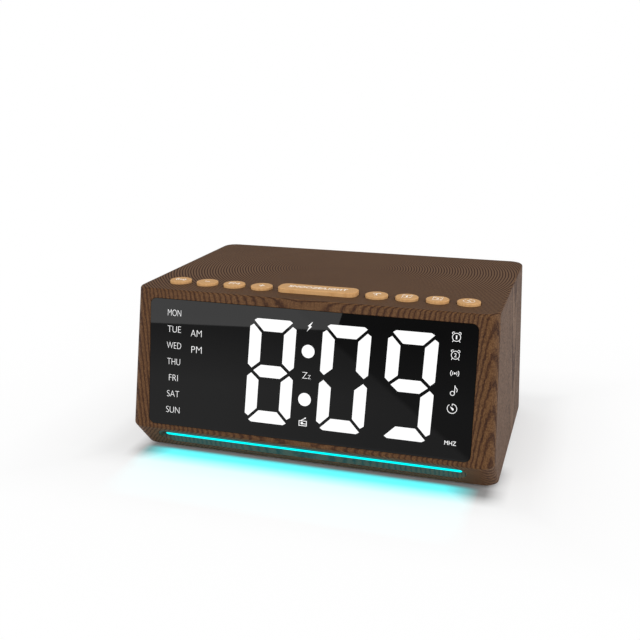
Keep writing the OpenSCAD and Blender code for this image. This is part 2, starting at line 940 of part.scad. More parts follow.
// Four screws from below into the posts of the case
module base_screws() {
    color(steel)
        for (x = [-1, 1])
            for (y = POST_Y)
                translate([x * post_x, y, 0]) {
                    rod(screw_head_d, foot_h + screw_sunk, screw_head_t);
                    rod(screw_d - 0.1, foot_h + screw_sunk + screw_head_t / 2, screw_l);
                }
}

// Four round rubber feet in wells of the base plate
module rubber_feet() {
    color([0.06, 0.06, 0.06])
        for (x = [-1, 1])
            for (y = FOOT_Y)
                translate([x * foot_x, y, 0])
                    rotate_extrude()
                        polygon([
                            [0, 0], [foot_d / 2 - foot_edge, 0], [foot_d / 2, foot_edge],
                            [foot_d / 2, foot_h + foot_well], [0, foot_h + foot_well]
                        ]);
}

// Holder of the coin cell on the base plate
module battery_holder() {
    color([0.11, 0.11, 0.12])
        translate([cell_x, cell_y, 0])
            difference() {
                rod(holder_d, base_z, cell_z + cell_t + holder_lid - base_z);
                rod(lug_l + 2 * turn_gap, base_z - 1, cell_z - base_z + 1);
                rod(cell_d + 2 * fit, base_z, cell_z + cell_t - base_z);
            }
}

// Coin cell that keeps the time
module backup_battery() {
    color(steel)
        translate([cell_x, cell_y, 0])
            rod(cell_d, cell_z, cell_t);
}

// Quarter-turn cap with a coin slot, held by two lugs above the base plate
module battery_cap() {
    color([0.10, 0.09, 0.085])
        translate([cell_x, cell_y, 0])
            difference() {
                union() {
                    rod(cap_d, foot_h + cap_sunk, base_t - cap_sunk);
                    rod(cell_d, base_z - 0.5, lug_z + lug_t - base_z + 0.5);
                    intersection() {
                        translate([-lug_l / 2, -lug_w / 2, lug_z])
                            cube([lug_l, lug_w, lug_t]);
                        rod(lug_l, lug_z, lug_t);
                    }
                }
                translate([-coin_l / 2, -coin_w / 2, foot_h - 1])
                    cube([coin_l, coin_w, 1 + coin_deep]);
            }
}

// Length of the chord of a circle at a distance from its middle
function chord(r, x) = 2 * sqrt(r * r - x * x);

// Rear panel with the slots of the speaker and the opening of the inlet
module rear_panel() {
    grille_r = speaker_d / 2 - grille_rim;
    pitch = grille_r / 4.6;
    color([0.07, 0.065, 0.06])
        on_back()
            translate([0, panel_s, 0])
                difference() {
                    plate(panel_w, panel_h, panel_r - fit / 2, -panel_back, panel_t);
                    for (i = [-4 : 4])
                        translate([speaker_x + i * pitch, 0, -panel_back - 1])
                            plate(slot_w, chord(grille_r, i * pitch), slot_w / 2 - eps, 0, panel_back + 2);
                    translate([jack_x, jack_y - panel_s, 0])
                        rod(jack_mouth, -panel_back - 1, panel_back + 2);
                    translate([0, -panel_s, 0])
                        panel_corners() {
                            rod(small_pass, -panel_back - 1, panel_back + 2);
                            rod(panel_head_d + fit, -panel_sunk - panel_head_t - 0.1, panel_head_t + 1);
                        }
                }
}

// Four screws of the rear panel, their heads sunk flush
module rear_panel_screws() {
    color([0.2, 0.2, 0.21])
        on_back()
            panel_corners() {
                rod(panel_head_d, -panel_sunk - panel_head_t - 0.1, panel_head_t);
                rod(small_d, -wall - panel_screw_l, wall + panel_screw_l - panel_sunk - panel_head_t / 2);
            }
}

// Foam ring between speaker and rear panel
module speaker_gasket() {
    color([0.2, 0.2, 0.2])
        on_back()
            translate([speaker_x, panel_s, 0])
                difference() {
                    rod(speaker_d, -panel_back - gasket_t, gasket_t);
                    rod(speaker_d - 2 * rim_w, -panel_back - gasket_t - 1, gasket_t + 2);
                }
}

// Speaker basket: front ring, sloping wall and seat of the magnet
module speaker_frame() {
    r = speaker_d / 2;
    z = -panel_back - gasket_t;
    low = z - basket_h;
    foot = basket_foot_d / 2;
    color([0.3, 0.3, 0.31])
        on_back()
            translate([speaker_x, panel_s, 0])
                rotate_extrude()
                    polygon([
                        [r, z], [r, z - rim_t], [r - rim_w, z - rim_t], [foot, low], [basket_bore / 2, low],
                        [basket_bore / 2, low + rim_t], [foot - rim_t * 2 / 3, low + rim_t],
                        [r - rim_w - rim_t, z - rim_t + 0.1], [r - rim_w, z - rim_t + 0.1], [r - rim_w, z]
                    ]);
}

// Paper cone with its dust cap, seated on the basket's ring
module speaker_cone() {
    rim = speaker_d / 2 - rim_w - 0.1;
    z = -panel_back - gasket_t;
    seat = z - rim_t + 0.2;
    low = z - basket_h + rim_t + cone_clear;
    neck = basket_foot_d / 2 - cone_in;
    dust = neck - dust_in;
    color([0.1, 0.1, 0.11])
        on_back()
            translate([speaker_x, panel_s, 0])
                rotate_extrude()
                    polygon([
                        [rim, z - 0.2], [rim, seat], [rim - rim_t, seat], [neck, low], [0, low],
                        [0, low + 3.5 * cone_t], [dust, low + 3 * cone_t], [neck, low + cone_t],
                        [rim - 2 * cone_t, z - 0.2]
                    ]);
}

// Magnet and back plate of the speaker
module speaker_magnet() {
    color(steel)
        on_back()
            translate([speaker_x, panel_s, 0])
                rod(magnet_d, -panel_back - gasket_t - basket_h - magnet_t, magnet_t);
}

// Height of the power inlet up the back
jack_y = main_z + board_t + jack_h / 2 - foot_h;

// Power inlet on the main board, with its bore and centre pin
module dc_jack() {
    y = rear_y(main_z + board_t + jack_h / 2) - panel_back - fit;
    color([0.08, 0.08, 0.085])
        translate([-jack_x, y, main_z + board_t]) {
            difference() {
                translate([-jack_w / 2, -jack_d, 0])
                    cube([jack_w, jack_d, jack_h]);
                translate([0, 1, jack_h / 2])
                    rotate([90, 0, 0])
                        cylinder(d = jack_bore, h = jack_d - 1);
            }
            translate([0, -0.5, jack_h / 2])
                rotate([90, 0, 0])
                    cylinder(d = jack_pin, h = jack_d - 1);
        }
}

cabinet();
display_lens();
hour_segments();
minute_tens_segments();
minute_units_segments();
colon_dots();
display_reflector();
display_board();
display_screws();
light_bar();
light_strip_board();
round_key(KEY_X[0]);  // key_sound
round_key(KEY_X[1]);  // key_minus
round_key(KEY_X[2]);  // key_radio
round_key(KEY_X[3]);  // key_plus
snooze_bar();
round_key(KEY_X[4]);  // key_light
round_key(KEY_X[5]);  // key_alarm_1
round_key(KEY_X[6]);  // key_alarm_2
round_key(KEY_X[7]);  // key_timer
switch_stem(KEY_X[0]);  // stem_sound
switch_stem(KEY_X[1]);  // stem_minus
switch_stem(KEY_X[2]);  // stem_radio
switch_stem(KEY_X[3]);  // stem_plus
switch_stem(row_x);  // stem_snooze
switch_stem(KEY_X[4]);  // stem_light
switch_stem(KEY_X[5]);  // stem_alarm_1
switch_stem(KEY_X[6]);  // stem_alarm_2
switch_stem(KEY_X[7]);  // stem_timer
tact_switches();
key_board();
key_board_screws();
charging_coil();
ferrite_plate();
coil_bracket();
coil_screws();
charging_board();
main_board();
main_board_components();
main_board_screws();
display_ribbon();
key_ribbon();
base_plate();
base_screws();
rubber_feet();
battery_holder();
backup_battery();
battery_cap();
rear_panel();
rear_panel_screws();
speaker_gasket();
speaker_frame();
speaker_cone();
speaker_magnet();
dc_jack();
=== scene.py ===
"""Looks of a bedside digital alarm clock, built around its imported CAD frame.

Sizes are in millimetres in the frame's own axes: X to the right seen from the front, Y to the back, Z up,
with the origin on the table below the middle of the case. Meshes are written in metres.
"""
import json
import logging
import math
from dataclasses import dataclass, field
from enum import Enum
from functools import reduce
from itertools import product
from operator import add
from typing import Iterable, Sequence

import bmesh
import bpy
import numpy as np
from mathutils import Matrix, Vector

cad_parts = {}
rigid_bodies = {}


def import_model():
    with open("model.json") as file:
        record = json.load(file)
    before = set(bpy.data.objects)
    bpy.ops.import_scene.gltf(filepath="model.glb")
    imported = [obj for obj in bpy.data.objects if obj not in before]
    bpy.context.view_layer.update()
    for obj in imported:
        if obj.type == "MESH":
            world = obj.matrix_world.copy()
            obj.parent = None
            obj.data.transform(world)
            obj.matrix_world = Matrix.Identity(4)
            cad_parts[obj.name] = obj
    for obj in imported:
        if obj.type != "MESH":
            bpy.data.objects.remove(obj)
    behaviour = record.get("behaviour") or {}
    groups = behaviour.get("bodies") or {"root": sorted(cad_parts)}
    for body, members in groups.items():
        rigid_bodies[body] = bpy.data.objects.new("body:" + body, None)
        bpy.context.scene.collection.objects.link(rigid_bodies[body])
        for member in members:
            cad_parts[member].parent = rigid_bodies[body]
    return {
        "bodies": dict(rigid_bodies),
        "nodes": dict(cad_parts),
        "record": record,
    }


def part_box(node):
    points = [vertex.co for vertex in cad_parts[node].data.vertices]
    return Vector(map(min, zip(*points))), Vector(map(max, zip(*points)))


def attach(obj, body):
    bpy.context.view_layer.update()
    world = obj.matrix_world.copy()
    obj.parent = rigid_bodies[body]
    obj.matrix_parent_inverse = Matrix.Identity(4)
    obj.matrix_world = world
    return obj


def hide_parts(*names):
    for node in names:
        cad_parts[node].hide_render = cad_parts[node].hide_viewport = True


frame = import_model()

Array = np.ndarray
Socket = bpy.types.NodeSocket
Pair = tuple[float, float]
Place = tuple[float, float, float]
Colour = tuple[float, float, float]
Fade = tuple[float, float, float, float]
Stops = tuple[tuple[float, Colour], ...]
Line = Sequence[Pair] | Array

# A millimetre in metres
MM = 0.001
# What keeps two round corners from meeting in one point
HAIR = 0.01
# How far a cut runs past the wall that it goes through
PAST = 1.0
# How far a cut stands out of the surface
FLARE = 0.4
# Turns in degrees above which the edges of a plain, a rounded and a pressed piece stay crisp
PLAIN, SOFT, CRISP = 32.0, 40.0, 50.0
# Points closer than the first of these are merged, and edges shorter than the second dropped, in metres
MERGE, SHORTEST = 2e-6, 1e-6
# The span that most of a noise lies in
NOISE = (0.3, 0.7)
WHITE = (1.0, 1.0, 1.0)
LOG = logging.getLogger("clock")


def srgb(red: int, green: int, blue: int) -> Colour:
    """Turns a colour from 0 to 255 per channel, as seen on a screen, into linear light.

    Args:
        red, green, blue: the channels as seen.

    Returns:
        The three linear channels from 0 to 1.
    """
    seen = np.array([red, green, blue]) / 255
    linear = np.where(seen <= 0.04045, seen / 12.92, ((seen + 0.055) / 1.055) ** 2.4)
    return tuple(float(c) for c in linear)


def scaled(colour: Colour, share: float) -> Colour:
    """A colour made darker or lighter by a share, up to full light."""
    return tuple(min(c * share, 1.0) for c in colour)


# Meshes

@dataclass(frozen=True)
class Face:
    """A flat face of the case: where it starts, and its directions across, up and outwards."""

    origin: Place
    across: Place
    up: Place
    out: Place

    def place(self, points: Array) -> Array:
        """Turns rows of (across, up, out) into rows of the clock's own (x, y, z)."""
        return np.asarray(self.origin) + points @ np.array([self.across, self.up, self.out])


@dataclass
class Shape:
    """A mesh in the making: points in millimetres, and faces as rows of point numbers."""

    points: Array
    faces: list[list[int]]

    def __add__(self, other: "Shape") -> "Shape":
        """Puts two shapes into one mesh."""
        shifted = [[i + len(self.points) for i in face] for face in other.faces]
        return Shape(np.concatenate([self.points, other.points]), self.faces + shifted)

    def moved(self, x: float, y: float, z: float = 0.0) -> "Shape":
        """Moves the shape."""
        return Shape(self.points + np.array([x, y, z]), self.faces)

    def on(self, face: Face) -> "Shape":
        """Places a shape that is written as (across, up, out) on a face."""
        return Shape(face.place(self.points), self.faces)

    def build(self, name: str, sharp: float = PLAIN) -> bpy.types.Object:
        """Makes a Blender object of the shape, with its poles closed and its faces outwards.

        Args:
            name: the piece's name.
            sharp: edges that turn by more than this many degrees stay crisp.

        Returns:
            The object, at the origin, with its place in its mesh.
        """
        mesh = bpy.data.meshes.new(name)
        mesh.from_pydata((self.points * MM).tolist(), [], self.faces)
        clean(mesh)
        shade(mesh, sharp)
        piece = bpy.data.objects.new(name, mesh)
        bpy.context.scene.collection.objects.link(piece)
        return piece


def joined(shapes: Iterable[Shape]) -> Shape:
    """Puts several shapes into one mesh."""
    return reduce(add, shapes)


def clean(mesh: bpy.types.Mesh) -> None:
    """Merges points that lie together, drops what has no area, and turns every face outwards.

    Args:
        mesh: the mesh to put right, in metres.
    """
    work = bmesh.new()
    work.from_mesh(mesh)
    bmesh.ops.remove_doubles(work, verts=work.verts, dist=MERGE)
    bmesh.ops.dissolve_degenerate(work, edges=work.edges, dist=SHORTEST)
    bmesh.ops.recalc_face_normals(work, faces=work.faces)
    work.to_mesh(mesh)
    work.free()


def shade(mesh: bpy.types.Mesh, sharp: float) -> None:
    """Shades a mesh smoothly except along crisp edges.

    Args:
        mesh: the mesh to shade.
        sharp: edges that turn by more than this many degrees stay crisp.
    """
    mesh.polygons.foreach_set("use_smooth", np.ones(len(mesh.polygons), bool))
    mesh.set_sharp_from_angle(angle=math.radians(sharp))
    mesh.update()


def loft(rings: Array, low_cap: bool = True, high_cap: bool = True) -> Shape:
    """Joins closed rings into a skin: point (level, turn) meets its neighbours in both directions.

    Args:
        rings: points by level and by step round the ring, as (levels, steps, 3).
        low_cap: closes the first ring with one face.
        high_cap: closes the last ring with one face.

    Returns:
        The skin.
    """
    levels, steps = rings.shape[:2]
    level, step = np.meshgrid(np.arange(levels - 1), np.arange(steps), indexing="ij")
    after = (step + 1) % steps
    low, high = level * steps, (level + 1) * steps
    quads = np.stack([low + step, low + after, high + after, high + step], -1).reshape(-1, 4)
    faces = quads.tolist()
    if low_cap:
        faces.append(list(range(steps))[::-1])
    if high_cap:
        faces.append(list(range((levels - 1) * steps, levels * steps)))
    return Shape(rings.reshape(-1, 3), faces)


def turned(profile: Sequence[Pair], steps: int = 64) -> Shape:
    """Turns a profile of (radius, height) about the upright axis: (r cos t, r sin t, h).

    Args:
        profile: points from the lower end of the axis to the upper one.
        steps: points round one turn.

    Returns:
        The turned solid about the origin.
    """
    radius, height = np.array(profile, float).T
    t = np.linspace(0, 2 * np.pi, steps, endpoint=False)
    x, y = radius[:, None] * np.cos(t), radius[:, None] * np.sin(t)
    rings = np.stack([x, y, np.broadcast_to(height[:, None], x.shape)], -1)
    return loft(rings, radius[0] > 0, radius[-1] > 0)


def round_rect(width: float, height: float, radius: float, steps: int = 10) -> Array:
    """Outline of a rectangle with round corners, anticlockwise: corner centres plus radius (cos t, sin t).

    Args:
        width, height: overall size.
        radius: radius of the corners.
        steps: steps along each corner.

    Returns:
        Points as (4 (steps + 1), 2).
    """
    t = np.radians(np.concatenate([np.linspace(a, a + 90, steps + 1) for a in (-90, 0, 90, 180)]))
    side = np.repeat([1, 1, -1, -1], steps + 1)
    end = np.repeat([-1, 1, 1, -1], steps + 1)
    x = side * (width / 2 - radius) + radius * np.cos(t)
    y = end * (height / 2 - radius) + radius * np.sin(t)
    return np.stack([x, y], -1)


def ring(width: float, height: float, up: float, out: float) -> Array:
    """A closed outline with round ends at a place up a face and a height above it, as (steps, 3)."""
    flat = round_rect(width, height, height / 2 - HAIR)
    return np.column_stack([flat[:, 0], flat[:, 1] + up, np.full(len(flat), out)])


def stacked(width: float, height: float, radius: float, levels: Sequence[Pair]) -> Shape:
    """Stacks round rectangles, each widened by an offset at a height, as (offset, height) pairs say.

    Args:
        width, height, radius: the plain outline.
        levels: offset and height of each level, from below.

    Returns:
        The closed stack about the origin.
    """
    rings = []
    for offset, z in levels:
        flat = round_rect(width + 2 * offset, height + 2 * offset, max(radius + offset, HAIR))
        rings.append(np.column_stack([flat, np.full(len(flat), z)]))
    return loft(np.array(rings))


def cutter(width: float, height: float, radius: float, low: float, rim: float = 0.25) -> Shape:
    """A block that cuts from a depth up through the surface at 0 and breaks the edge there by 45 degrees."""
    return stacked(width, height, radius, [(0, low), (0, -rim), (rim, 0), (rim + FLARE, FLARE)])


def edge_round(radius: float, top: float, steps: int = 6) -> list[Pair]:
    """Offsets and heights round an upper edge: (-r (1 - cos a), top - r (1 - sin a)) for a from 0 to 90."""
    a = np.linspace(0, np.pi / 2, steps + 1)
    return list(zip(-radius * (1 - np.cos(a)), top - radius * (1 - np.sin(a))))


def slab(outline: Array, low: float, high: float) -> Shape:
    """Carries a flat outline from one height up to another."""
    rings = [np.column_stack([outline, np.full(len(outline), z)]) for z in (low, high)]
    return loft(np.array(rings))


def ribbon(path: Line, width: float, high: float, closed: bool = False) -> Shape:
    """Carries a flat bar along a path: each point moves to both sides along the mitre of its two stretches.

    Args:
        path: points of the middle line.
        width: width of the line.
        high: thickness of the line above 0.
        closed: joins the end to the start.

    Returns:
        The line as a closed solid.
    """
    p = np.array(path, float)
    ahead = np.roll(p, -1, 0) - p
    behind = p - np.roll(p, 1, 0)
    if not closed:
        ahead[-1], behind[0] = behind[-1], ahead[0]
    ahead /= np.linalg.norm(ahead, axis=1, keepdims=True)
    behind /= np.linalg.norm(behind, axis=1, keepdims=True)
    along = ahead + behind
    along /= np.linalg.norm(along, axis=1, keepdims=True)
    reach = width / 2 / np.maximum((along * ahead).sum(1), 0.5)
    side = np.stack([-along[:, 1], along[:, 0]], -1) * reach[:, None]
    left, right = p + side, p - side
    zero, top = np.zeros(len(p)), np.full(len(p), high)
    bars = [np.column_stack([q, z]) for q, z in ((left, zero), (right, zero), (right, top), (left, top))]
    rings = np.stack(bars, 1)
    if closed:
        rings = np.concatenate([rings, rings[:1]])
    return loft(rings, not closed, not closed)


def arc(x: float, y: float, radius: float, start: float, end: float, steps: int = 24) -> list[Pair]:
    """Points along an arc about (x, y), from one angle in degrees to another."""
    t = np.radians(np.linspace(start, end, steps + 1))
    return list(zip(x + radius * np.cos(t), y + radius * np.sin(t)))


def disc(x: float, y: float, radius: float, high: float) -> Shape:
    """A small round print of a thickness."""
    return slab(np.array(arc(x, y, radius, 0, 360, 28)[:-1]), 0, high)


def lettering(words: str, width: float, height: float, high: float, thin: float = 0.012) -> Shape:
    """Plain upright lettering, scaled to a width and a height about its own middle.

    Args:
        words: what it says.
        width, height: size over all.
        high: thickness above 0.
        thin: what each stroke loses on both sides, as a share of the type size.

    Returns:
        The letters as solids.
    """
    curve = bpy.data.curves.new("lettering", "FONT")
    curve.body = words
    curve.extrude = 0.5
    curve.offset = -thin
    curve.resolution_u = 6
    holder = bpy.data.objects.new("lettering", curve)
    bpy.context.scene.collection.objects.link(holder)
    mesh = bpy.data.meshes.new_from_object(holder.evaluated_get(bpy.context.evaluated_depsgraph_get()))
    points = np.zeros(len(mesh.vertices) * 3, np.float32)
    mesh.vertices.foreach_get("co", points)
    points = points.reshape(-1, 3).astype(float)
    faces = [list(polygon.vertices) for polygon in mesh.polygons]
    bpy.data.objects.remove(holder)
    bpy.data.curves.remove(curve)
    bpy.data.meshes.remove(mesh)
    low, top = points.min(0), points.max(0)
    middle = np.array([(low[0] + top[0]) / 2, (low[1] + top[1]) / 2, low[2]])
    return Shape((points - middle) / (top - low) * np.array([width, height, high]), faces)


def carve(piece: bpy.types.Object, cutters: Sequence[Shape]) -> None:
    """Cuts each shape out of a piece in turn, and shades what is left.

    Args:
        piece: the solid.
        cutters: closed shapes to take away.
    """
    for shape in cutters:
        knife = shape.build("knife")
        cut = piece.modifiers.new("cut", "BOOLEAN")
        cut.operation, cut.solver, cut.object = "DIFFERENCE", "EXACT", knife
        bpy.context.view_layer.update()
        carved = bpy.data.meshes.new_from_object(piece.evaluated_get(bpy.context.evaluated_depsgraph_get()))
        piece.modifiers.remove(cut)
        old, piece.data = piece.data, carved
        bpy.data.meshes.remove(old)
        bpy.data.meshes.remove(knife.data)
    piece.data.name = piece.name
    clean(piece.data)
    shade(piece.data, PLAIN)


def even_normals(piece: bpy.types.Object) -> None:
    """Lets the large flat faces rule the shading, so that small rounds don't cloud them.

    Args:
        piece: the piece to shade.
    """
    weights = piece.modifiers.new("even shading", "WEIGHTED_NORMAL")
    weights.keep_sharp = True
    weights.mode = "FACE_AREA"


# Finishes

class Wiring:
    """Adds nodes to one tree, links them, and ends in the tree's output."""

    def __init__(self, owner: bpy.types.Material | bpy.types.World, output: str = "OutputMaterial") -> None:
        """Starts the owner's tree with nothing but an output."""
        owner.use_nodes = True
        self.owner, self.tree = owner, owner.node_tree
        self.tree.nodes.clear()
        self.output = self.node(output)

    def node(self, kind: str, **inputs: object) -> bpy.types.Node:
        """Adds a node and feeds its inputs.

        Args:
            kind: what comes after ShaderNode in the node's type.
            inputs: links or values by socket, named with underscores for spaces.

        Returns:
            The node.
        """
        made = self.tree.nodes.new("ShaderNode" + kind)
        for name, value in inputs.items():
            self.feed(made.inputs[name.replace("_", " ")], value)
        return made

    def feed(self, target: Socket, value: object) -> None:
        """Links a socket to a target, or sets the target to a plain value.

        Args:
            target: the socket that is fed.
            value: another socket, or a number, vector or colour.
        """
        if isinstance(value, bpy.types.NodeSocket):
            self.tree.links.new(value, target)
        elif target.type == "RGBA":
            target.default_value = (*value, 1.0)
        else:
            target.default_value = value

    def end(self, shader: Socket) -> None:
        """Sends a shader to the output."""
        self.feed(self.output.inputs["Surface"], shader)

    def mixed(self, share: Socket, first: Socket, second: Socket) -> Socket:
        """Mixes two shaders.

        Args:
            share: share of the second one.
            first, second: the shaders.

        Returns:
            The mixed shader.
        """
        mix = self.node("MixShader", Fac=share)
        self.feed(mix.inputs[1], first)
        self.feed(mix.inputs[2], second)
        return mix.outputs[0]

    def added(self, first: Socket, second: Socket) -> Socket:
        """Adds the light of two shaders.

        Args:
            first, second: the shaders.

        Returns:
            The shader of both.
        """
        total = self.node("AddShader")
        self.feed(total.inputs[0], first)
        self.feed(total.inputs[1], second)
        return total.outputs[0]

    def seen(self) -> Socket:
        """Tells direct sight from light that scatters.

        Returns:
            1 for rays from the camera, from gloss and through glass, and 0 for others.
        """
        path = self.node("LightPath").outputs
        direct = self.math("MAXIMUM", path["Is Camera Ray"], path["Is Glossy Ray"])
        return self.math("MAXIMUM", direct, path["Is Transmission Ray"])

    def axes(self) -> tuple[Socket, Socket, Socket]:
        """The place on the object in metres, axis by axis."""
        place = self.node("SeparateXYZ", Vector=self.node("TexCoord").outputs["Object"])
        return tuple(place.outputs)

    def point(self, stretch: Place = (1, 1, 1)) -> Socket:
        """The place on the object in millimetres, each axis times a stretch."""
        place = self.node("TexCoord").outputs["Object"]
        return self.vector("MULTIPLY", place, tuple(s / MM for s in stretch))

    def vector(self, operation: str, first: object, second: object = None) -> Socket:
        """One vector operation.

        Args:
            operation: Blender's name of it.
            first, second: links or plain vectors.

        Returns:
            A number for LENGTH, and a vector for the others.
        """
        node = self.node("VectorMath")
        node.operation = operation
        self.feed(node.inputs[0], first)
        if second is not None:
            self.feed(node.inputs[1], second)
        return node.outputs["Value" if operation == "LENGTH" else "Vector"]

    def math(self, operation: str, *values: object) -> Socket:
        """One operation on numbers.

        Args:
            operation: Blender's name of it.
            values: links or plain numbers.

        Returns:
            The result.
        """
        node = self.node("Math")
        node.operation = operation
        for target, value in zip(node.inputs, values):
            self.feed(target, value)
        return node.outputs[0]

    def noise(self, place: Socket, grain: float, detail: float = 2.0) -> Socket:
        """Cloudy noise about 0.5 whose features are about grain millimetres across."""
        return self.node("TexNoise", Vector=place, Scale=1 / grain, Detail=detail).outputs["Fac"]

    def centred(self, place: Socket, grain: float) -> Socket:
        """Cloudy noise about 0."""
        return self.math("SUBTRACT", self.noise(place, grain), 0.5)

    def spread(self, value: Socket, low: float, high: float, start: float = 0.0, end: float = 1.0) -> Socket:
        """Carries start to end over to low to high."""
        node = self.node("MapRange", Value=value, From_Min=start, From_Max=end, To_Min=low, To_Max=high)
        return node.outputs["Result"]

    def ramp(self, value: Socket, stops: Sequence[tuple[float, Colour]]) -> Socket:
        """Runs a number through a ramp of colours.

        Args:
            value: a number from 0 to 1.
            stops: places and their colours.

        Returns:
            The colour at the number.
        """
        node = self.node("ValToRGB", Fac=value)
        elements = node.color_ramp.elements
        while len(elements) < len(stops):
            elements.new(1.0)
        for element, (place, colour) in zip(elements, stops):
            element.position, element.color = place, (*colour, 1.0)
        return node.outputs["Color"]

    def mottled(self, noise: Socket, low: Colour, high: Colour) -> Socket:
        """Runs a noise from one colour to another."""
        return self.ramp(noise, tuple(zip(NOISE, (low, high))))


class Surface(Wiring):
    """The wiring of one material round its principled shader."""

    def __init__(self, name: str) -> None:
        """Starts a material with a shader and an output."""
        super().__init__(bpy.data.materials.new(name))
        self.shader = self.node("BsdfPrincipled")
        self.end(self.shader.outputs["BSDF"])

    def set(self, **values: object) -> None:
        """Feeds the shader's sockets, named with underscores for spaces."""
        for name, value in values.items():
            self.feed(self.shader.inputs[name.replace("_", " ")], value)

    def bump(self, height: Socket, depth: float, strength: float = 1.0) -> None:
        """Raises the surface by a height from 0 to 1, depth in millimetres."""
        node = self.node("Bump", Strength=strength, Distance=depth * MM, Height=height)
        self.set(Normal=node.outputs["Normal"])


@dataclass(frozen=True)
class RingWood:
    """Wood cut through its growth rings, which run about an upright axis through the whole solid.

    Sizes are in millimetres. Each noise has a strength, a size, and a way in which it is stretched. The
    rings have a strength (ring), a sharpness (narrow) and a mean darkness (mean). Where a surface looks up,
    which is where the fibres end, end_grain strengthens the rings and calm weakens the quick noises. A set
    plane gives the rings as they are in that plane, for a surface that turns away from it.
    """

    name: str
    stops: Stops
    roughness: Pair
    specular: float = 0.075
    axis: Pair = (-1.5, 18.2)
    spacing: float = 1.475
    first: float = 0.28
    drift: float = 0.8
    drift_size: float = 12.0
    ripple: float = 1.0
    ripple_size: float = 1.6
    ring: float = 0.75
    narrow: float = 2.8
    mean: float = 0.32
    end_grain: float = 2.1
    end_turn: Pair = (0.8, 0.95)
    calm: float = 0.3
    fibre: float = 0.6
    fibre_size: float = 0.6
    speckle: float = 1.7
    speck_size: float = 0.45
    cloud: float = 0.3
    cloud_size: float = 34.0
    tones: Pair = (-0.1, 1.3)
    relief: float = 0.05
    bump: float = 0.4
    plane: float | None = None
    slow_way: Place = (1, 1, 0.22)
    quick_way: Place = (1, 1, 0.7)
    fibre_way: Place = (1, 1, 0.08)
    speck_way: Place = (1, 0.2, 0.7)

    def radius(self, w: Surface, calm: Socket) -> Socket:
        """Wires the distance from the axis, bent by a slow noise and a quick one.

        Args:
            w: the material.
            calm: share of the quick noise.

        Returns:
            The distance in millimetres from the first ring; a set plane stands for the place along Y.
        """
        cut = 0.0 if self.plane is None else self.plane
        kept = w.vector("MULTIPLY", w.point(), (1.0, float(self.plane is None), 0.0))
        flat = w.vector("ADD", kept, (-self.axis[0], cut - self.axis[1], 0.0))
        slow = w.noise(w.point(self.slow_way), self.drift_size)
        drift = w.math("MULTIPLY_ADD", slow, self.drift, -self.first - self.drift / 2)
        bent = w.math("ADD", w.vector("LENGTH", flat), drift)
        quick = w.math("MULTIPLY", w.centred(w.point(self.quick_way), self.ripple_size), calm)
        return w.math("MULTIPLY_ADD", quick, self.ripple, bent)

    def grain(self, w: Surface, calm: Socket) -> Socket:
        """Wires the lighter and darker fibres, specks and clouds between the rings.

        Args:
            w: the material.
            calm: share of the specks.

        Returns:
            The tone without the rings.
        """
        even = 1.0 - self.ring * self.mean - (self.fibre + self.cloud) / 2
        fibres = w.noise(w.point(self.fibre_way), self.fibre_size, 3.0)
        tone = w.math("MULTIPLY_ADD", fibres, self.fibre, even)
        specks = w.math("MULTIPLY", w.centred(w.point(self.speck_way), self.speck_size), calm)
        tone = w.math("MULTIPLY_ADD", specks, self.speckle, tone)
        return w.math("MULTIPLY_ADD", w.noise(w.point(self.slow_way), self.cloud_size), self.cloud, tone)

    def material(self) -> bpy.types.Material:
        """Wires it: a ring is darkest where cos(2 pi (r - first) / spacing) is 1, with r bent by two noises.

        Returns:
            The material, uneven along its fibres as well, with stronger rings where its end is cut.
        """
        w = Surface(self.name)
        upward = w.node("SeparateXYZ", Vector=w.node("TexCoord").outputs["Normal"]).outputs["Z"]
        ends = w.spread(upward, 0.0, 1.0, *self.end_turn)
        calm = w.spread(ends, 1.0, self.calm)
        wave = w.math("COSINE", w.math("MULTIPLY", self.radius(w, calm), 2 * math.pi / self.spacing))
        dark = w.math("POWER", w.math("MULTIPLY_ADD", wave, 0.5, 0.5), self.narrow)
        rings = w.math("MULTIPLY", w.math("SUBTRACT", dark, self.mean), w.spread(ends, 1.0, self.end_grain))
        grain = self.grain(w, calm)
        tone = w.spread(w.math("MULTIPLY_ADD", rings, -self.ring, grain), 0.0, 1.0, *self.tones)
        w.set(Base_Color=w.ramp(tone, self.stops), Roughness=w.spread(tone, *self.roughness))
        w.set(Specular_IOR_Level=self.specular)
        w.bump(grain, self.relief, self.bump)
        return w.owner


@dataclass(frozen=True)
class Gloss:
    """Polished plastic with a trace of haze and wiping marks."""

    name: str
    colour: Colour
    roughness: Pair = (0.05, 0.11)
    specular: float = 0.5
    haze: float = 0.75
    haze_size: float = 45.0
    streak_size: float = 9.0
    streak_way: Place = (0.3, 1, 1)

    def material(self) -> bpy.types.Material:
        """Wires it: a slow haze in the colour, and finer streaks in the roughness.

        Returns:
            The material.
        """
        w = Surface(self.name)
        haze = w.noise(w.point(), self.haze_size)
        streaks = w.noise(w.point(self.streak_way), self.streak_size, 4.0)
        w.set(Base_Color=w.mottled(haze, scaled(self.colour, self.haze), self.colour))
        w.set(Roughness=w.spread(streaks, *self.roughness, *NOISE), Specular_IOR_Level=self.specular)
        return w.owner


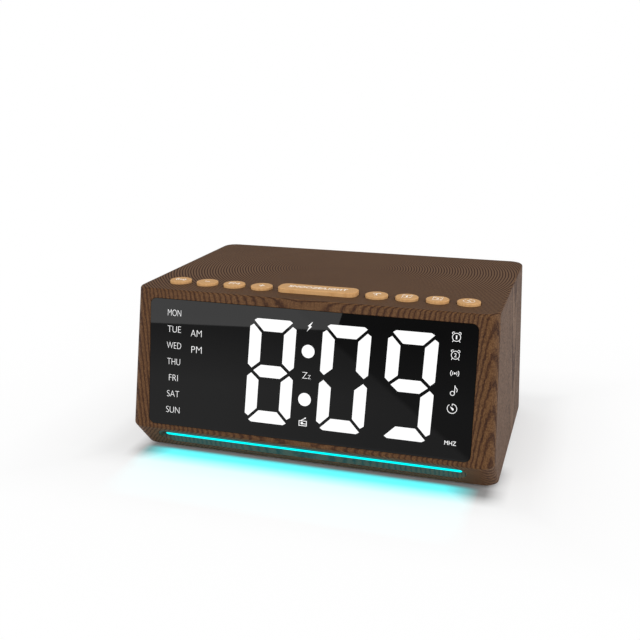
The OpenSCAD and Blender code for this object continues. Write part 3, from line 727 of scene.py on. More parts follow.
@dataclass(frozen=True)
class Lit:
    """A surface lit from behind, a little uneven as a diffuser is."""

    name: str
    colour: Colour
    strength: float
    unevenness: float = 0.04
    grain: float = 9.0
    specular: float = 0.2
    roughness: float = 0.25
    unlit: float = 0.05

    def material(self) -> bpy.types.Material:
        """Wires it: the glow varies with a soft noise under a smooth front.

        Returns:
            The material.
        """
        w = Surface(self.name)
        glow = w.noise(w.point(), self.grain)
        low, high = self.strength * (1 - self.unevenness), self.strength * (1 + self.unevenness)
        w.set(Base_Color=scaled(self.colour, self.unlit))
        w.set(Roughness=self.roughness, Specular_IOR_Level=self.specular)
        w.set(Emission_Color=self.colour, Emission_Strength=w.spread(glow, low, high, *NOISE))
        return w.owner


@dataclass(frozen=True)
class Moulded:
    """Moulded or sprayed matter with a fine even texture: plastic, rubber, foam, paper or paint."""

    name: str
    colour: Colour
    roughness: Pair = (0.45, 0.6)
    grain: float = 0.5
    relief: float = 0.03
    bump: float = 0.6
    mottle: float = 0.18
    slow_size: float = 40.0
    fine_share: float = 0.4
    slow_share: float = 0.6

    def material(self) -> bpy.types.Material:
        """Wires it: a fine noise raises the surface, and a slow one shifts its colour.

        Returns:
            The material.
        """
        w = Surface(self.name)
        fine = w.noise(w.point(), self.grain, 3.0)
        slow = w.math("MULTIPLY", w.noise(w.point(), self.slow_size * self.grain), self.slow_share)
        mixed = w.math("MULTIPLY_ADD", fine, self.fine_share, slow)
        low, high = scaled(self.colour, 1 - self.mottle), scaled(self.colour, 1 + self.mottle)
        w.set(Base_Color=w.mottled(mixed, low, high), Roughness=w.spread(fine, *self.roughness, *NOISE))
        w.bump(fine, self.relief, self.bump)
        return w.owner


@dataclass(frozen=True)
class Metal:
    """Plated or brushed metal, streaked along one way."""

    name: str
    colour: Colour
    roughness: Pair = (0.25, 0.42)
    streak: Place = (1, 1, 1)
    streak_size: float = 0.25
    dim: float = 0.8
    relief: float = 0.01
    bump: float = 0.4

    def material(self) -> bpy.types.Material:
        """Wires it: a stretched noise gives streaks in colour, roughness and relief.

        Returns:
            The material.
        """
        w = Surface(self.name)
        streaks = w.noise(w.point(self.streak), self.streak_size, 3.0)
        w.set(Base_Color=w.mottled(streaks, scaled(self.colour, self.dim), self.colour), Metallic=1.0)
        w.set(Roughness=w.spread(streaks, *self.roughness, *NOISE))
        w.bump(streaks, self.relief, self.bump)
        return w.owner


@dataclass(frozen=True)
class Winding:
    """Lines at a pitch: the turns of a flat coil about an axis, or the leads of a ribbon across it."""

    name: str
    colour: Colour
    gap: Colour
    pitch: float
    axis: Pair | None = None
    metallic: float = 0.0
    edge: Pair = (0.05, 0.4)
    roughness: Pair = (0.5, 0.3)
    relief: float = 0.2
    bump: float = 0.8

    def material(self) -> bpy.types.Material:
        """Wires it: a cosine of the distance from the axis, or of the way across, over the pitch.

        Returns:
            The material.
        """
        w = Surface(self.name)
        if self.axis is None:
            off = w.vector("MULTIPLY", w.point(), (1.0, 0.0, 0.0))
        else:
            off = w.vector("SUBTRACT", w.point(), (*self.axis, 0.0))
            off = w.vector("MULTIPLY", off, (1.0, 1.0, 0.0))
        wave = w.math("COSINE", w.math("MULTIPLY", w.vector("LENGTH", off), 2 * math.pi / self.pitch))
        height = w.math("MULTIPLY_ADD", wave, 0.5, 0.5)
        w.set(Base_Color=w.ramp(height, tuple(zip(self.edge, (self.gap, self.colour)))))
        w.set(Metallic=self.metallic, Roughness=w.spread(height, *self.roughness))
        w.bump(height, self.relief, self.bump)
        return w.owner


@dataclass(frozen=True)
class CircuitBoard:
    """Solder mask over copper tracks, with bare pads here and there."""

    name: str
    mask: Colour
    track: Colour
    lattice: float = 0.35
    edge_size: float = 0.6
    edge_share: float = 0.12
    edge: Pair = (0.3, 0.36)
    roughness: Pair = (0.25, 0.4)
    relief: float = 0.03
    bump: float = 0.3

    def material(self) -> bpy.types.Material:
        """Wires it: square cells of a lattice noise stand for tracks under the mask.

        Returns:
            The material.
        """
        w = Surface(self.name)
        node = w.node("TexVoronoi", Vector=w.point(), Scale=self.lattice)
        node.distance = "CHEBYCHEV"
        ragged = w.noise(w.point(), self.edge_size)
        cells = w.math("MULTIPLY_ADD", ragged, self.edge_share, node.outputs["Distance"])
        w.set(Base_Color=w.ramp(cells, tuple(zip(self.edge, (self.track, self.mask)))))
        w.set(Roughness=w.spread(ragged, *self.roughness))
        w.bump(cells, self.relief, self.bump)
        return w.owner


WALNUT = RingWood(
    "walnut",
    ((0.0, srgb(38, 23, 18)), (0.35, srgb(60, 38, 25)), (0.7, srgb(80, 54, 33)), (1.0, srgb(101, 72, 46))),
    (0.68, 0.48),
)
# Painted shade and light: the trough's walnut, darker and less red than the case, for the shade in the trough
# and the bar's cyan light on it
PAINTED_TROUGH_WALNUT = RingWood(
    "walnut with painted trough shade and cyan light",
    ((0.0, srgb(24, 20, 20)), (0.6, srgb(58, 46, 31)), (1.0, srgb(76, 60, 38))),
    (0.4, 0.3),
    specular=0.4, plane=-54.5, ring=1.0,
)
TAN_WOOD = RingWood(
    "tan wood",
    ((0.0, srgb(178, 133, 84)), (0.5, srgb(191, 146, 96)), (1.0, srgb(203, 160, 110))),
    (0.6, 0.5),
    ring=0.5, end_grain=1.0, calm=1.0, speckle=1.3, relief=0.01,
)
LIT_WHITE = Lit("lit white", WHITE, 1.0)
WHITE_PRINT = Moulded("white print", srgb(250, 246, 238), grain=0.3, relief=0.005, mottle=0.03)
LENS = Gloss("lens black", (0.0012, 0.0012, 0.0013), (0.015, 0.04), 0.25)
FINISHES = {
    "case_wood": WALNUT,
    "lens_black": LENS,
    "lit_white": LIT_WHITE,
    "light_cyan": Lit("light cyan", (0.0, 1.0, 1.0), 1.15, 0.06, 7.0, 0.0),
    "key_tan": TAN_WOOD,
    "reflector_white": Moulded("reflector white", (0.85, 0.85, 0.85), mottle=0.05),
    "board_green": CircuitBoard("solder mask", (0.012, 0.09, 0.04), (0.03, 0.17, 0.08)),
    "screw_steel": Metal("zinc plate", (0.66, 0.67, 0.69)),
    "switch_black": Moulded("switch black", (0.02, 0.02, 0.022)),
    "coil_copper": Winding("enamelled wire", (0.62, 0.27, 0.10), (0.12, 0.04, 0.02), 1.0, (0.0, 14.0), 0.8),
    "ferrite_grey": Moulded("ferrite", (0.045, 0.045, 0.05), (0.6, 0.75), 0.8),
    "bracket_white": Moulded("bracket white", (0.75, 0.75, 0.73), mottle=0.05),
    "component_black": Moulded("component black", (0.018, 0.018, 0.02)),
    "ribbon_grey": Winding("ribbon leads", (0.5, 0.51, 0.54), (0.2, 0.2, 0.22), 1.0),
    "base_black": Moulded("base black", srgb(34, 31, 29), (0.5, 0.68), 0.6, 0.05),
    "foot_rubber": Moulded("foot rubber", srgb(24, 24, 24), (0.7, 0.85), 0.4, 0.04),
    "cell_steel": Metal("cell steel", (0.7, 0.71, 0.72), streak=(1, 0.05, 1)),
    "panel_black": Moulded("panel black", srgb(32, 29, 27), (0.48, 0.64), 0.55, 0.05),
    "screw_black": Metal("black oxide", (0.06, 0.06, 0.065), (0.3, 0.45)),
    "foam_grey": Moulded("foam", (0.03, 0.03, 0.032), (0.85, 0.95), 0.7, 0.2),
    "basket_grey": Moulded("powder coat", (0.06, 0.06, 0.065), (0.4, 0.55), 0.4),
    "cone_paper": Moulded("cone paper", (0.02, 0.02, 0.022), (0.75, 0.9), 0.9, 0.08),
    "magnet_steel": Metal("magnet plate", (0.55, 0.56, 0.58)),
    "jack_black": Gloss("jack black", (0.015, 0.015, 0.015), (0.25, 0.4)),
}


class Finisher:
    """Makes each finish once and gives it to pieces and to CAD nodes."""

    def __init__(self) -> None:
        """Starts with no material made."""
        self.made: dict[str, bpy.types.Material] = {}

    def of(self, finish: object) -> bpy.types.Material:
        """The material of a finish, made at its first use.

        Args:
            finish: any of the finish classes.

        Returns:
            Its material.
        """
        if finish.name not in self.made:
            self.made[finish.name] = finish.material()
        return self.made[finish.name]

    def dress(self, piece: bpy.types.Object, slot: str, body: str, finish: object = None) -> bpy.types.Object:
        """Gives a new piece its finish, the one of its record slot unless another is given, and the body that
        it rides on.

        Args:
            piece: the new piece.
            slot: the record's material slot.
            body: the CAD body that carries it.
            finish: a finish in place of the slot's own.

        Returns:
            The piece.
        """
        piece.data.materials.clear()
        piece.data.materials.append(self.of(finish or FINISHES[slot]))
        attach(piece, body)
        LOG.info("%s: %d faces on %s", piece.name, len(piece.data.polygons), body)
        return piece

    def dress_nodes(self) -> None:
        """Gives every CAD node the finish of its record slot."""
        for part in frame["record"]["subparts"]:
            node = frame["nodes"][part["node"]]
            material = self.of(FINISHES[part["material_slot"]])
            if not node.material_slots:
                node.data.materials.append(material)
            for slot in node.material_slots:
                slot.material = material
        LOG.info("%d CAD nodes dressed", len(frame["nodes"]))


# The clock

@dataclass(frozen=True)
class CaseSizes:
    """Driving sizes of the case, as the CAD frame has them; lean is in degrees."""

    top_w: float = 180.0
    side_draft: float = 5.6
    base_d: float = 131.6
    back_draft: float = 2.8
    body_h: float = 86.0
    bevel: float = 15.8
    lean: float = 8.0
    corner_r: float = 7.5
    edge_r: float = 1.25
    wall: float = 3.0
    front_wall: float = 4.2
    foot_h: float = 2.0
    fit: float = 0.3

    @property
    def top_z(self) -> float:
        """Height of the top."""
        return self.foot_h + self.body_h

    @property
    def fold_z(self) -> float:
        """Height of the fold between front and bevel."""
        return self.foot_h + self.bevel

    @property
    def fold_y(self) -> float:
        """Foremost line of the case."""
        return -self.base_d / 2

    @property
    def front(self) -> Face:
        """The leaning front, from the fold upwards."""
        sin, cos = math.sin(math.radians(self.lean)), math.cos(math.radians(self.lean))
        return Face((0, self.fold_y, self.fold_z), (1, 0, 0), (0, sin, cos), (0, -cos, sin))

    @property
    def slope(self) -> Face:
        """The bevel below the front, from the fold; up is towards the fold."""
        d = math.sqrt(0.5)
        return Face((0, self.fold_y, self.fold_z), (1, 0, 0), (0, -d, d), (0, -d, -d))

    @property
    def back(self) -> Face:
        """The back, from its foot upwards; across is to the right seen from behind."""
        turn = math.atan(self.back_draft / self.body_h)
        sin, cos = math.sin(turn), math.cos(turn)
        return Face((0, self.base_d / 2, self.foot_h), (-1, 0, 0), (0, -sin, cos), (0, cos, sin))

    def half_w(self, z: Array) -> Array:
        """Half the width at a height."""
        return self.top_w / 2 + self.side_draft / 2 / self.body_h * (self.top_z - z)

    def rear_y(self, z: Array) -> Array:
        """The back's place at a height."""
        return self.base_d / 2 - self.back_draft / self.body_h * (z - self.foot_h)

    def front_y(self, z: Array) -> Array:
        """The front's place at a height: leaning above the fold, at 45 degrees below it."""
        above = (z - self.fold_z) * math.tan(math.radians(self.lean))
        return self.fold_y + np.where(z >= self.fold_z, above, self.fold_z - z)


@dataclass(frozen=True)
class Cabinet:
    """The wood case: a tapered shell with openings for lens, light, keys and rear panel."""

    sizes: CaseSizes = CaseSizes()
    corner_steps: int = 16
    fold_r: float = 0.9
    foot_break: float = 0.4
    key_gap: float = 0.3
    key_break: float = 0.12
    seat_break: float = 0.3
    seat_w: float = 10.0
    seat_h: float = 4.0

    def rings(self, z: Array, half_w: Array, front: Array, rear: Array, radius: Array) -> Array:
        """Rings of the case by height: corner centres plus radius (cos t, sin t) at each level.

        Args:
            z: heights of the levels.
            half_w, front, rear, radius: half width, front, back and corner radius at each level.

        Returns:
            Points as (levels, steps, 3).
        """
        n = self.corner_steps + 1
        t = np.radians(np.concatenate([np.linspace(a, a + 90, n) for a in (-90, 0, 90, 180)]))
        side, end = np.repeat([1, 1, -1, -1], n), np.repeat([0, 1, 1, 0], n)
        r = radius[:, None]
        x = side * (half_w[:, None] - r) + r * np.cos(t)
        y = np.where(end, rear[:, None] - r, front[:, None] + r) + r * np.sin(t)
        return np.stack([x, y, np.broadcast_to(z[:, None], x.shape)], -1)

    def block(self) -> Shape:
        """The outer block: a broken lower edge, a small bend at the fold, and a quarter round along the top.

        Returns:
            The closed block; the bend is a parabola between two points at fold_r from the fold.
        """
        s = self.sizes
        t = np.linspace(0, 1, 9)
        lean = math.radians(s.lean)
        below, above = self.fold_r * math.sqrt(0.5), self.fold_r * math.cos(lean)
        bend_z = s.fold_z - below * (1 - t) ** 2 + above * t ** 2
        bend_y = s.fold_y + below * (1 - t) ** 2 + self.fold_r * math.sin(lean) * t ** 2
        a = np.linspace(0, np.pi / 2, 9)
        foot_z = s.foot_h + self.foot_break * np.array([0.0, 1.0])
        top_z = s.top_z - s.edge_r * (1 - np.sin(a))
        z = np.concatenate([foot_z, bend_z, top_z])
        foot_in = self.foot_break * np.array([1.0, 0.0])
        inset = np.concatenate([foot_in, np.zeros(len(t)), s.edge_r * (1 - np.cos(a))])
        front = np.concatenate([s.front_y(foot_z), bend_y, s.front_y(top_z)]) + inset
        return loft(self.rings(z, s.half_w(z) - inset, front, s.rear_y(z) - inset, s.corner_r - inset))

    def hollow(self) -> Shape:
        """The space inside, open below: the outer planes moved in by the walls.

        Returns:
            The block to cut away.
        """
        s = self.sizes
        front_in = s.front_wall / math.cos(math.radians(s.lean))
        bevel_in = s.front_wall * math.sqrt(2)
        tan = math.tan(math.radians(s.lean))
        bend = s.fold_z + (bevel_in - front_in) / (1 + tan)
        low = s.foot_h - PAST
        z = np.array([low, bend, s.top_z - s.wall])
        upper = front_in + (z[1:] - s.fold_z) * tan
        front = s.fold_y + np.concatenate([[bevel_in + s.fold_z - low], upper])
        radius = np.full(len(z), s.corner_r - s.wall)
        return loft(self.rings(z, s.half_w(z) - s.wall, front, s.rear_y(z) - s.wall, radius))

    def openings(
        self, display: "Display", light: "LightLine", keys: "Keypad", panel: "RearPanel",
    ) -> list[Shape]:
        """The cuts through the shell, each with a broken edge where it meets the surface.

        Args:
            display, light, keys, panel: the assemblies that sit in the openings.

        Returns:
            The cutting shapes.
        """
        s, fit = self.sizes, self.sizes.fit
        deep, through = -s.front_wall - PAST, -s.wall - PAST
        lens = cutter(display.lens_w + fit, display.lens_h + fit, display.lens_r, -display.lens_back)
        window = stacked(display.window_w, display.window_h, display.lens_r, [(0, deep), (0, -PAST)])
        seat = cutter(panel.width + fit, panel.height + fit, panel.corner_r, -panel.back, self.seat_break)
        behind_w, behind_h = panel.width - 2 * self.seat_w, panel.height - 2 * self.seat_h
        behind = stacked(behind_w, behind_h, panel.corner_r, [(0, through), (0, -PAST)])
        cuts = [
            lens.moved(0, display.lens_s).on(s.front),
            window.moved(0, display.window_s).on(s.front),
            light.trough().on(s.slope),
            light.slot(fit, deep).on(s.slope),
            seat.moved(0, panel.middle).on(s.back),
            behind.moved(0, panel.middle).on(s.back),
        ]
        for key in keys.keys:
            x, y = keys.middle(key)
            wide, deep_y = (size + 2 * self.key_gap for size in keys.size(key))
            round_r = wide / 2 - HAIR / 2 if key.round else keys.bar_r + self.key_gap
            cuts.append(cutter(wide, deep_y, round_r, through, self.key_break).moved(x, y, s.top_z))
        return cuts

    def build(self, finisher: Finisher, cuts: Sequence[Shape]) -> None:
        """Lofts the block, hollows it, cuts its openings and dresses it in wood.

        Args:
            finisher: gives the finish.
            cuts: the openings.
        """
        case = self.block().build("wood_case")
        carve(case, [self.hollow(), *cuts])
        even_normals(case)
        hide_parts("cabinet")
        finisher.dress(case, "case_wood", "clock")


class Mark(Enum):
    """What a key carries on its top."""

    WAVES = "waves"
    MINUS = "minus"
    BAND = "FM"
    PLUS = "plus"
    SNOOZE = "SNOOZE/LIGHT"
    LAMP = "lamp"
    ALARM_1 = "1"
    ALARM_2 = "2"
    TIMER = "timer"


@dataclass(frozen=True)
class Icons:
    """Generic signs drawn with lines of one width, about their own middle."""

    line: float
    high: float

    def stroke(self, *paths: Line) -> Shape:
        """Draws open lines."""
        return joined(ribbon(path, self.line, self.high) for path in paths)

    def circle(self, radius: float, x: float = 0.0, y: float = 0.0) -> Shape:
        """Draws a ring."""
        return ribbon(arc(x, y, radius, 0, 360, 32)[:-1], self.line, self.high, True)

    def alarm(self, number: str, radius: float) -> Shape:
        """An alarm clock with two bells and two feet round a number.

        Args:
            number: the figure on its dial.
            radius: radius of the dial.

        Returns:
            The sign.
        """
        r = radius
        bells = [arc(x * r * 0.76, r * 0.96, r * 0.3, -5 - x * 45, 185 - x * 45, 12) for x in (-1, 1)]
        feet = [[(x * r * 0.7, -r * 0.85), (x * r * 0.96, -r * 1.2)] for x in (-1, 1)]
        digit = lettering(number, r * (0.3 if number == "1" else 0.6), r * 0.95, self.high, 0.0)
        return self.circle(r) + self.stroke(*bells, *feet) + digit

    def timer(self, radius: float) -> Shape:
        """A dial with a gap at its upper left, and a hand.

        Args:
            radius: radius of the dial.

        Returns:
            The sign.
        """
        r = radius
        dial = arc(0, 0, r, 90, -233, 40)
        notch = [(0.0, r), (0.0, r * 0.6)]
        hand = np.array([(-r * 0.46, r * 0.46), (r * 0.3, r * 0.04), (r * 0.04, -r * 0.3)])
        hub = disc(r * 0.16, -r * 0.16, r * 0.2, self.high)
        return self.stroke(dial, notch) + slab(hand[::-1], 0, self.high) + hub

    def waves(self, radius: float) -> Shape:
        """A dot that sends out two waves to each side."""
        paths = [arc(0, 0, radius * k, a - 42, a + 42, 12) for k in (0.55, 1.0) for a in (0, 180)]
        return self.stroke(*paths) + disc(0, 0, radius * 0.22, self.high)

    def note(self, height: float) -> Shape:
        """A quaver: an open head, a stem and a flag.

        Args:
            height: its whole height.

        Returns:
            The sign.
        """
        h = height
        stem = h * np.array([(0.06, -0.22), (0.06, 0.5)])
        flag = h * np.array([(0.06, 0.46), (0.14, 0.3), (0.28, 0.16), (0.3, 0.0), (0.24, -0.14)])
        return self.circle(h * 0.2, -h * 0.14, -h * 0.29) + self.stroke(stem, flag)

    def bolt(self, height: float) -> Shape:
        """A flash of lightning."""
        points = [(0.3, 0.5), (-0.21, 0.05), (-0.05, -0.03), (-0.3, -0.5), (0.19, 0.0), (0.05, 0.07)]
        return slab(np.array(points) * height, 0, self.high)

    def radio(self, width: float) -> Shape:
        """A small radio: a box with a loudspeaker, a scale, and an aerial.

        Args:
            width: width of the box.

        Returns:
            The sign.
        """
        w = width
        box = [(-w / 2, -w * 0.42), (w / 2, -w * 0.42), (w / 2, w * 0.2), (-w / 2, w * 0.2)]
        aerial = [(-w * 0.25, w * 0.24), (w * 0.32, w * 0.6)]
        scale = [(0, -w * 0.16), (w * 0.44, -w * 0.16)]
        shape = ribbon(box, self.line, self.high, True) + disc(-w * 0.12, -w * 0.1, w * 0.16, self.high)
        shape = shape + disc(w * 0.32, w * 0.6, w * 0.09, self.high)
        return shape + self.stroke(aerial, scale)

    def lamp(self, height: float) -> Shape:
        """A lamp: a broad shade over a stem.

        Args:
            height: its whole height.

        Returns:
            The sign.
        """
        h = height
        shade_line = [(-h * 0.5, h * 0.2), (-h * 0.3, h * 0.42), (h * 0.3, h * 0.42), (h * 0.5, h * 0.2)]
        stem = [(0, h * 0.42), (0, -h * 0.5)]
        foot = [(-h * 0.22, -h * 0.5), (h * 0.22, -h * 0.5)]
        return self.stroke(shade_line, stem, foot)


@dataclass(frozen=True)
class Key:
    """One key: its CAD node, the body that it rides on, and its mark."""

    node: str
    body: str
    mark: Mark

    @property
    def round(self) -> bool:
        """Whether it is one of the round keys."""
        return self.mark is not Mark.SNOOZE


def key_row() -> tuple[Key, ...]:
    """The nine keys.

    Returns:
        The keys from left to right.
    """
    names = ("sound", "minus", "radio", "plus", "light", "alarm_1", "alarm_2", "timer")
    marks = (Mark.WAVES, Mark.MINUS, Mark.BAND, Mark.PLUS, Mark.LAMP, Mark.ALARM_1, Mark.ALARM_2, Mark.TIMER)
    row = [Key(f"key_{name}", f"{name}_key", mark) for name, mark in zip(names, marks)]
    row.insert(4, Key("snooze_bar", "snooze", Mark.SNOOZE))
    return tuple(row)


@dataclass(frozen=True)
class Keypad:
    """Eight round keys and the snooze bar, each with a printed mark."""

    bar_r: float = 4.0
    edge: float = 0.45
    flange_w: float = 1.0
    flange_t: float = 1.2
    boss_t: float = 1.2
    boss_r: float = 2.5
    print_t: float = 0.05
    line: float = 0.45
    fine_line: float = 0.17
    keys: tuple[Key, ...] = field(default_factory=key_row)

    def middle(self, key: Key) -> Pair:
        """Where the frame has a key, seen from above."""
        low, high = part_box(key.node)
        return (low.x + high.x) / 2 / MM, (low.y + high.y) / 2 / MM

    def size(self, key: Key) -> Pair:
        """Width and depth of a key above its flange."""
        low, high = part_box(key.node)
        return (high.x - low.x) / MM - 2 * self.flange_w, (high.y - low.y) / MM - 2 * self.flange_w

    def cap(self, key: Key) -> Shape:
        """A key from its boss to its round upper edge: a turned profile, or stacked outlines for the bar.

        Args:
            key: which key.

        Returns:
            The key about its own middle, at its own height.
        """
        low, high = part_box(key.node)
        foot, top = low.z / MM, high.z / MM
        flange = foot + self.boss_t
        upper, seat = flange + self.flange_t, flange + self.flange_t / 2
        rim = [(self.flange_w, flange), (self.flange_w, upper), (0.0, upper)]
        levels = rim + edge_round(self.edge, top)
        if key.round:
            r = self.size(key)[0] / 2
            boss = [(0.0, foot), (self.boss_r, foot), (self.boss_r, flange)]
            return turned(boss + [(r + offset, z) for offset, z in levels] + [(0.0, top)])
        boss = turned([(0.0, foot), (self.boss_r, foot), (self.boss_r, seat), (0.0, seat)])
        return stacked(*self.size(key), self.bar_r, levels) + boss

    def mark(self, key: Key) -> Shape:
        """The print of a key.

        Args:
            key: which key.

        Returns:
            Its sign, about the key's own middle.
        """
        signs, fine = Icons(self.line, self.print_t), Icons(self.fine_line, self.print_t)
        drawn = {
            Mark.WAVES: lambda: signs.waves(2.4),
            Mark.MINUS: lambda: signs.stroke([(-1.3, 0), (1.3, 0)]),
            Mark.BAND: lambda: lettering("FM", 5.2, 3.1, self.print_t),
            Mark.PLUS: lambda: signs.stroke([(-1.5, 0), (1.5, 0)], [(0, -1.6), (0, 1.6)]),
            Mark.SNOOZE: lambda: lettering("SNOOZE/LIGHT", 29.6, 3.4, self.print_t, 0.0),
            Mark.LAMP: lambda: signs.lamp(3.8),
            Mark.ALARM_1: lambda: fine.alarm("1", 2.3),
            Mark.ALARM_2: lambda: fine.alarm("2", 2.3),
            Mark.TIMER: lambda: fine.timer(2.7),
        }
        return drawn[key.mark]()

    def build(self, finisher: Finisher) -> None:
        """Makes each key and its mark, both on the key's own body.

        Args:
            finisher: gives the finish.
        """
        for key in self.keys:
            x, y = self.middle(key)
            piece = self.cap(key).moved(x, y).build(f"{key.node}_cap", SOFT)
            even_normals(piece)
            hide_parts(key.node)
            finisher.dress(piece, "key_tan", key.body)
            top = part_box(key.node)[1].z / MM
            mark = self.mark(key).moved(x, y, top).build(f"{key.node}_mark")
            finisher.dress(mark, "key_tan", key.body, WHITE_PRINT)


@dataclass(frozen=True)
class LightLine:
    """The trough along the bevel, with the light bar, a CAD node, on its floor.

    Places (recess_s, bar_s) are measured from the fold, up the bevel.
    """

    recess_l: float = 158.4
    recess_w: float = 14.0
    recess_t: float = 2.0
    recess_s: float = -10.0
    floor_l: float = 156.8
    floor_w: float = 3.2
    bar_l: float = 153.6
    bar_w: float = 2.8
    bar_s: float = -11.6
    rim: float = 0.25
    lining: float = 0.05
    lining_gap: float = 0.02
    slot_over: float = 0.5

    def mouth_ring(self, offset: float, height: float) -> Array:
        """The trough's outline below its broken edge, widened by an offset, at a height."""
        return ring(self.recess_l + 2 * offset, self.recess_w + 2 * offset, self.recess_s, height)

    def floor_ring(self, offset: float, height: float) -> Array:
        """The outline of the trough's floor, widened by an offset, at a height."""
        return ring(self.floor_l + 2 * offset, self.floor_w + 2 * offset, self.bar_s, height)

    def trough(self) -> Shape:
        """The cut: straight sides between the floor's outline and the mouth's, then a flare.

        Returns:
            The cutting shape, through the surface.
        """
        rings = [self.floor_ring(0, -self.recess_t), self.mouth_ring(0, -self.rim)]
        flare = [self.mouth_ring(self.rim, 0), self.mouth_ring(self.rim + PAST, PAST)]
        return loft(np.array(rings + flare))

    def slot(self, fit: float, low: float) -> Shape:
        """The opening in the trough's floor that the bar comes through."""
        levels = [(0, low), (0, self.slot_over - self.recess_t)]
        return stacked(self.bar_l + fit, self.bar_w + fit, self.bar_w / 2, levels).moved(0, self.bar_s)

    def build(self, finisher: Finisher, slope: Face) -> None:
        """Lines the trough with a cup inside the cut, in walnut painted darker and less red: painted shade
        and painted cyan light of the bar.

        Args:
            finisher: gives the finish.
            slope: the bevel that the trough is in.
        """
        t = self.lining
        inner = [self.floor_ring(-t, t - self.recess_t), self.mouth_ring(-t, -self.rim)]
        outer = [self.mouth_ring(0, -self.rim), self.floor_ring(0, -self.recess_t)]
        piece = loft(np.array(inner + outer)).on(slope).build("painted_trough_lining")
        carve(piece, [self.slot(self.lining_gap, -self.recess_t - PAST).on(slope)])
        finisher.dress(piece, "case_wood", "clock", PAINTED_TROUGH_WALNUT)


DAYS = ("MON", "TUE", "WED", "THU", "FRI", "SAT", "SUN")


@dataclass(frozen=True)
class Display:
    """The lens with its lit legends; the lit bars and dots are CAD nodes.

    Places are across the front and up from the fold, and sizes are width and height.
    """

    lens_w: float = 162.7
    lens_h: float = 63.89
    lens_r: float = 3.15
    lens_s: float = 34.25
    lens_back: float = 2.4
    lens_recess: float = 0.2
    lip: float = 3.0
    lip_low: float = 4.4
    print_t: float = 0.06
    print_thin: float = 0.022
    day_x: float = -68.35
    day_top: float = 59.5
    day_pitch: float = 8.2
    day_h: float = 3.15
    day_widths: tuple[float, ...] = (7.2, 7.2, 7.8, 7.05, 4.8, 6.7, 7.3)
    half_h: float = 3.25
    morning_w: float = 5.8
    morning_at: Pair = (-56.4, 50.2)
    evening_w: float = 5.5
    evening_at: Pair = (-56.05, 42.0)
    middle_line: float = 0.32
    bolt_h: float = 5.1
    bolt_at: Pair = (2.2, 58.6)
    sleep_size: Pair = (2.6, 3.05)
    sleep_at: Pair = (0.65, 34.9)
    small_sleep_size: Pair = (1.4, 1.8)
    small_sleep_at: Pair = (2.9, 34.3)
    radio_w: float = 3.75
    radio_at: Pair = (0.5, 11.75)
    side_line: float = 0.27
    side_x: float = 71.8
    side_off: float = 0.2
    side_rows: tuple[float, ...] = (59.6, 51.4, 43.06, 35.1, 26.6, 10.4)
    alarm_r: float = 1.85
    waves_r: float = 1.9
    note_h: float = 4.8
    timer_r: float = 2.2
    unit_size: Pair = (5.4, 1.95)

    @property
    def window_w(self) -> float:
        """Width of the window behind the lens."""
        return self.lens_w - 2 * self.lip

    @property
    def window_h(self) -> float:
        """Height of the window behind the lens."""
        return self.lens_h - self.lip - self.lip_low

    @property
    def window_s(self) -> float:
        """Middle of the window, up the front."""
        return self.lens_s + (self.lip_low - self.lip) / 2

    def word(self, words: str, width: float, height: float) -> Shape:
        """Thin lettering of a given size about its own middle."""
        return lettering(words, width, height, self.print_t, self.print_thin)

    def days(self) -> Shape:
        """The names of the days.

        Returns:
            The words, one below the other.
        """
        return joined(
            self.word(day, width, self.day_h).moved(self.day_x, self.day_top - row * self.day_pitch)
            for row, (day, width) in enumerate(zip(DAYS, self.day_widths))
        )

    def halves(self) -> Shape:
        """The marks of the half day."""
        morning = self.word("AM", self.morning_w, self.half_h).moved(*self.morning_at)
        return morning + self.word("PM", self.evening_w, self.half_h).moved(*self.evening_at)

    def middle_signs(self) -> Shape:
        """Charging, snooze and radio signs between hours and minutes.

        Returns:
            The signs, from the fold upwards.
        """
        signs = Icons(self.middle_line, self.print_t)
        sleep = self.word("Z", *self.sleep_size).moved(*self.sleep_at)
        sleep = sleep + self.word("z", *self.small_sleep_size).moved(*self.small_sleep_at)
        radio = signs.radio(self.radio_w).moved(*self.radio_at)
        return signs.bolt(self.bolt_h).moved(*self.bolt_at) + sleep + radio

    def side_signs(self) -> Shape:
        """Alarms, sound, music, timer and the unit of the radio band at the right end.

        Returns:
            The signs, one below the other.
        """
        signs, off = Icons(self.side_line, self.print_t), self.side_off
        column = (
            (signs.alarm("1", self.alarm_r), -off),
            (signs.alarm("2", self.alarm_r), -off),
            (signs.waves(self.waves_r), 0.0),
            (signs.note(self.note_h), off),
            (signs.timer(self.timer_r), -off),
            (lettering("MHZ", *self.unit_size, self.print_t, 0.0), 0.0),
        )
        return joined(sign.moved(self.side_x + x, row) for (sign, x), row in zip(column, self.side_rows))

    def build(self, finisher: Finisher, front: Face) -> None:
        """Prints the legends on the lens.

        Args:
            finisher: gives the finish.
            front: the leaning front that the lens is in.
        """
        legends = {
            "day_legends": self.days(),
            "half_day_legends": self.halves(),
            "middle_signs": self.middle_signs(),
            "side_signs": self.side_signs(),
        }
        for name, shape in legends.items():
            piece = shape.moved(0, 0, -self.lens_recess).on(front).build(name)
            finisher.dress(piece, "lit_white", "clock", LIT_WHITE)


